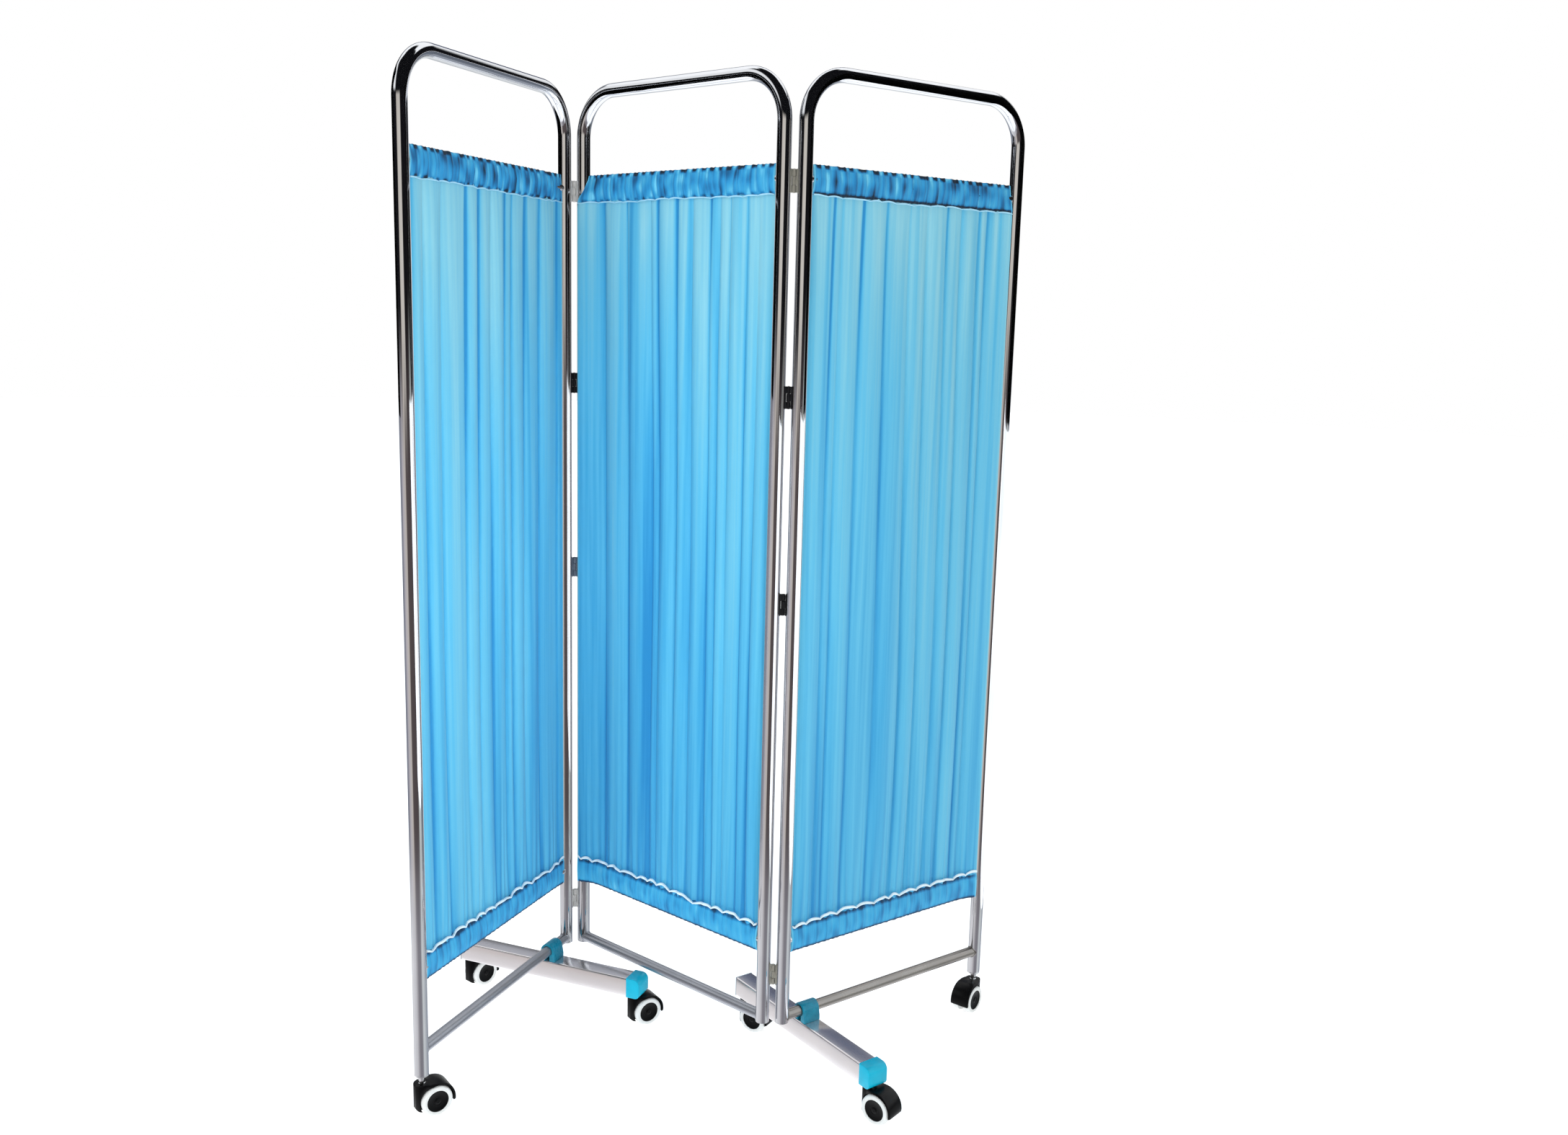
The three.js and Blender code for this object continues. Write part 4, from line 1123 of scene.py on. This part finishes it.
# %% [markdown]
# ## The curtains
# A curtain on two rods hangs in upright folds, about a dozen to a panel, some broad and some
# narrow. Each fold swells and fades on its way down, and fine pleats open at the hem. Cloth
# simulation could find such folds, but never these, and the cloth is held tight at both ends,
# so the folds are drawn: a fine grid is pushed in and out by a profile with broad crests and
# narrow valleys. The cloth is a little wider than its opening: at its left end the middle
# curtain lies over the front of the post, and the right one comes forward at its right end.

# %% The folds of a curtain
CURTAIN_INSET = 14.5 * MM
FOLD_DEPTH = 9 * MM
FOLD_COUNTS = {"left": 11, "middle": 12, "right": 11}
FOLD_SEEDS = {"left": 11, "middle": 23, "right": 37}
CLOTH_ENDS = {
    "left": ((0, 0), (0, 3)),
    "middle": ((15.5, 15.5), (0, 0)),
    "right": ((0, 0), (0, 9)),
}
END_REACH = 25 * MM
DRAPE_REACH = 56 * MM
HELD_REACH = 40 * MM
PLEAT_REACH = 110 * MM
PLEAT_COUNT = 30
PLEAT_DEPTH = 1.2 * MM
CRISP_REACH = 200 * MM
PALE_REACH = 150 * MM
CREASE_MM = 3.4
SHADE_MM = 13
SELVEDGE = 0.012
SHEET_TUCK = 12 * MM
SHEET_FULLNESS = 1.25
BAND_FULLNESS = 2
LEAST_TONE = 0.02
# Each panel's base tone: partly the panels' own tints, partly painted light that evens out how brightly
# each wing is lit.
PANEL_TINT_AND_PAINTED_LIGHT = {"left": 0.28, "middle": 0.42, "right": 0.32}
CREASES = {"left": 1, "middle": 1.05, "right": 0.75}


def eased(value, low, high):
    share = min(max((value - low) / (high - low), 0), 1)
    return share * share * (3 - 2 * share)


def hung(side, share, height):
    (over_a, lie_a), (over_b, lie_b) = CLOTH_ENDS[side]
    drape = eased(CURTAIN_TOP - height, 0, DRAPE_REACH)
    start = CURTAIN_INSET - over_a * MM * drape
    end = PANEL_WIDTH - CURTAIN_INSET + over_b * MM * drape
    x = start + share * (end - start)
    near_a = math.exp(-((x - start) / END_REACH) ** 2) * min(lie_a, 1)
    near_b = math.exp(-((end - x) / END_REACH) ** 2) * min(lie_b, 1)
    return x, (near_a * lie_a + near_b * lie_b) * MM * drape, max(near_a, near_b)


def fold_edges(side):
    chance = random.Random(FOLD_SEEDS[side])
    widths = [chance.uniform(0.35, 1.75) for _ in range(FOLD_COUNTS[side])]
    edges = [0.0]
    for width in widths:
        edges.append(edges[-1] + width / sum(widths))
    return edges


def fold_at(share, edges):
    for index, (left, right) in enumerate(zip(edges, edges[1:])):
        if share <= right or index == len(edges) - 2:
            return index, (share - left) / (right - left), right - left


def wander(x, y, seed):
    return noise.noise(Vector((x, y, seed)))


def off_selvedge(share):
    return 1 - eased(min(share, 1 - share), SELVEDGE, 0)


def lay_flat(bm, uv, fullness):
    for face in bm.faces:
        for loop in face.loops:
            loop[uv].uv = (loop.vert.co.x * fullness, loop.vert.co.z)


def cloth_state(side, edges, share, height):
    level = (height - CURTAIN_BOTTOM) / (CURTAIN_TOP - CURTAIN_BOTTOM)
    seed = FOLD_SEEDS[side]
    drift = wander(share * 2, level * 1.6, seed) * 0.04 * math.sin(math.pi * share)
    index, part, width = fold_at(min(max(share + drift, 0), 1), edges)
    part = min(max(part, 0), 1)
    fold_mm = width * (PANEL_WIDTH / MM)
    crest = max(math.sin(math.pi * part ** 0.8), 0) ** 0.85
    swell = 0.75 + 0.7 * wander(index * 3.7, level * 1.5, seed * 2)
    swell *= min(fold_mm / 34, 1.15)
    above_hem = height - CURTAIN_BOTTOM - BAND_HEIGHT
    below_heading = CURTAIN_TOP - BAND_HEIGHT - height
    held = math.exp(-max(min(above_hem, below_heading), 0) / HELD_REACH)
    pleats = math.exp(-max(above_hem, 0) / PLEAT_REACH)
    pleat = math.sin(math.tau * share * PLEAT_COUNT + 4 * wander(share * 14, level * 3, seed))
    push = (crest * swell - 0.5) * FOLD_DEPTH * (1 - 0.6 * held) + pleat * pleats * PLEAT_DEPTH
    push += wander(share * 24, level * 5, seed + 5) * 0.5 * MM
    # Painted shade: a thin dark line down each crease valley and broader shade beside it.
    painted_crease_shade = 0
    for edge, away in ((index, part), (index + 1, 1 - part)):
        weight = 0.55 + 0.9 * wander(edge * 2.3 + 0.5, level * 1.7, seed + 7)
        fine = math.exp(-(away * fold_mm / CREASE_MM) ** 2)
        broad = math.exp(-away * fold_mm / SHADE_MM) * (0.6 if edge == index else 0.25)
        painted_crease_shade += max(weight, 0) * (fine * 0.6 + broad * 0.5)
    crisp = (0.72 + 1.7 * math.exp(-max(below_heading, 0) / CRISP_REACH) + 0.3 * pleats) * CREASES[side]
    # Painted shade of faint extra creases, in thin upright streaks.
    painted_faint_crease_shade = max(wander(share * 30, level * 1.4, seed + 12), 0) * 0.5
    zone = wander(share * 4.5, level * 0.7, seed + 9) * 0.2
    zone += wander(share * 13, level * 1.1, seed + 10) * 0.2
    # Tone adds the panel's base, the painted crease shade, random patches, and a rise so the cloth is drawn
    # darker towards the bottom.
    tone = PANEL_TINT_AND_PAINTED_LIGHT[side] + (painted_crease_shade + painted_faint_crease_shade - 0.2) * crisp + zone + 0.3 * (1 - level)
    # Painted shade on one side of each hem pleat, and the cloth drawn paler just under the heading.
    tone += max(pleat, 0) ** 2 * pleats * 0.25 - 0.17 * math.exp(-max(below_heading, 0) / PALE_REACH)
    return push, min(max(tone, LEAST_TONE), 1)


# %% One sheet of cloth between the bands
def curtain_sheet(side, columns, rows):
    edges = fold_edges(side)
    bm = bmesh.new()
    bmesh.ops.create_grid(bm, x_segments=columns, y_segments=rows, size=0.5)
    uv = bm.loops.layers.uv.new("cloth")
    layers = bm.verts.layers.float.new("tone")
    low, high = CURTAIN_BOTTOM + SHEET_TUCK, CURTAIN_TOP - SHEET_TUCK
    for vert in bm.verts:
        share, rise = vert.co.x + 0.5, vert.co.y + 0.5
        height = low + (high - low) * rise
        push, tone = cloth_state(side, edges, share, height)
        x, lie, calm = hung(side, share, height)
        vert[layers] = tone * off_selvedge(share)
        vert.co = (x, -push * (1 - 0.9 * calm) - lie, height)
    lay_flat(bm, uv, SHEET_FULLNESS)
    return bm


# %% [markdown]
# ### Heading and hem
# Each band is a casing sewn round its rod and ruched along it. Seen from its end it is a flat
# tube, thin at both edges and full where the rod lies, so a ring of that section is pulled along
# the panel in many short steps, and every step is creased a little differently. The shade of the
# gathers is painted as dark dashes along the casing's edges, and the hollows of the ruching are
# painted darker as well. The hem's edges carry painted shade as plain dark lines, one under the
# ruffle and one along the bottom. A casing flattens where it leaves its rod to lie over a
# post. A pale piping runs under the heading, and a white ruffle in little arches above the hem.

# %% Ruched casings
BAND_HALF = 8 * MM
BAND_TONES = {"left": 0.45, "middle": 0.36, "right": 0.45}
GATHER_PITCH = 21 * MM
DASH_PITCH = GATHER_PITCH * 1.1


def ripple(along, pitch, seed):
    return math.sin(math.tau * along / pitch + 5 * wander(along / (45 * MM), 0.3, seed))


def ruched_band(side, middle, creases, contrast, painted_edge_shade, columns):
    seed = FOLD_SEEDS[side] + middle * 3
    bm = pulled_tube(36, 1, (1 / columns, 0, 0), columns, rotation(90, "Y"))
    uv = bm.loops.layers.uv.new("cloth")
    layers = bm.verts.layers.float.new("tone")
    for vert in bm.verts:
        share = vert.co.x
        lift = max(-1, min(1, vert.co.z))
        face = (vert.co.y > 1e-5) - (vert.co.y < -1e-5)
        height = middle + lift * BAND_HEIGHT / 2
        x, lie, calm = hung(side, share, height)
        body = (0.45 + 0.35 * (1 - abs(lift)) ** 0.6) * math.sqrt(max(1 - lift * lift, 0)) ** 0.55
        half = BAND_HALF * body * (1 - 0.8 * calm)
        lean = x + lift * 5 * MM * wander(x / (60 * MM), 0.7, seed)
        fine = ripple(lean, GATHER_PITCH * 0.5, seed)
        broad = ripple(lean, GATHER_PITCH, seed + 3)
        tuck = wander(lean / (10 * MM), lift * 1.2, seed + 6)
        sway = (fine * 0.5 + broad * 0.8 + tuck * 0.9) * creases
        sway *= (1 - 0.8 * calm) * (1 - 0.5 * abs(lift))
        patch = wander(x / (17 * MM), lift * 0.9, seed + 8)
        # Painted shade in the hollows of the ruching.
        hollow = 0.5 - 0.5 * (fine * 0.3 + broad * 0.5 + tuck * 0.9) * (-face or 1)
        tone = BAND_TONES[side] + ((hollow - 0.5) * 0.42 + patch * 0.5) * contrast
        # Painted shade of the gathers: dark dashes along the casing's top and bottom edges, or a plain dark
        # line where an edge is not dashed.
        gather = ripple(x, DASH_PITCH, seed + 11)
        dash = min(max(0.5 + 1.2 * gather, -0.4), 1)
        at_edges = eased(lift, 0.66, 0.86), eased(-lift, 0.72, 0.9)
        for at_edge, (strength, dashed) in zip(at_edges, painted_edge_shade):
            tone += at_edge * strength * (dash if dashed else 1)
        vert[layers] = min(max(tone * off_selvedge(share), LEAST_TONE), 1)
        scallop = gather * 0.9 * MM * abs(lift) ** 4
        vert.co = (x, half * face + sway - lie, height - math.copysign(scallop, lift))
    lay_flat(bm, uv, BAND_FULLNESS)
    close_ends(bm)
    return bm


def arched_cord(side, height, out, rise, pitch, radius, columns):
    seed = FOLD_SEEDS[side] + height * 7
    bm = pulled_tube(8, radius, (1 / columns, 0, 0), columns, rotation(90, "Y"))
    for vert in bm.verts:
        x, lie, calm = hung(side, vert.co.x, height)
        beat = abs(math.sin(math.pi * x / pitch + 2.5 * wander(x / (70 * MM), 0.5, seed))) ** 0.7
        droop = wander(x / (90 * MM), 0.2, seed + 2)
        vert.co.x = x
        flat = 1 - 0.9 * calm
        vert.co.y = (vert.co.y + out + ripple(x, pitch * 0.8, seed + 1) * 1.2 * MM) * flat - lie
        vert.co.z = vert.co.z * (0.75 + 0.5 * beat) + height + (beat - 0.6 + droop) * rise
    close_ends(bm)
    return bm


# %% Hanging the three curtains
FINE = 1.0
SHEET_COLUMNS, SHEET_ROWS, BAND_COLUMNS = (int(count * FINE) for count in (340, 90, 300))
CORD_OUT = 6.5 * MM
CORD_PITCH = 40 * MM
CLOTH_SHARP = 80
# How strongly each edge of a casing is painted dark with shade, and whether dashed: top edge, then bottom
# edge.
HEADING_EDGE_SHADE = {
    "left": ((0.75, True), (0.4, True)),
    "middle": ((0.7, True), (0.3, True)),
    "right": ((0.8, True), (0.75, False)),
}
HEM_EDGE_SHADE = ((0.45, False), (0.8, False))

for side, place in PANELS.items():
    body = PANEL_BODY[side]
    sheet_bm = curtain_sheet(side, SHEET_COLUMNS, SHEET_ROWS)
    sheet = finish_piece(f"curtain_sheet_{side}", sheet_bm, curtain_cloth, place, body,
                         [f"curtain_{side}"], sharp=CLOTH_SHARP, merge=0)
    bands = []
    for name, level, creases, contrast, edges, cloth in (
            ("ruched_heading", "upper", 1.6 * MM, 1, HEADING_EDGE_SHADE[side], heading_cloth),
            ("ruched_hem", "lower", 0.7 * MM, 0.6, HEM_EDGE_SHADE, hem_cloth)):
        band_bm = ruched_band(side, ROD_HEIGHTS[level], creases, contrast, edges, BAND_COLUMNS)
        bands.append(finish_piece(f"{name}_{side}", band_bm, cloth, place, body,
                                  sharp=CLOTH_SHARP))
    trims = []
    for name, height, rise, radius, cotton in (
            ("heading_piping", CURTAIN_TOP - BAND_HEIGHT - 1 * MM, 2.2 * MM, 1.1 * MM, piping_cotton),
            ("hem_ruffle", CURTAIN_BOTTOM + BAND_HEIGHT + 4 * MM, 6 * MM, 2.3 * MM, ruffle_cotton)):
        for face, out in (("front", -CORD_OUT), ("rear", CORD_OUT)):
            cord = arched_cord(side, height, out, rise, CORD_PITCH, radius, BAND_COLUMNS)
            trims.append(finish_piece(f"{name}_{face}_{side}", cord, cotton, place, body))
    for piece in (sheet, *bands, *trims):
        piece.visible_glossy = False
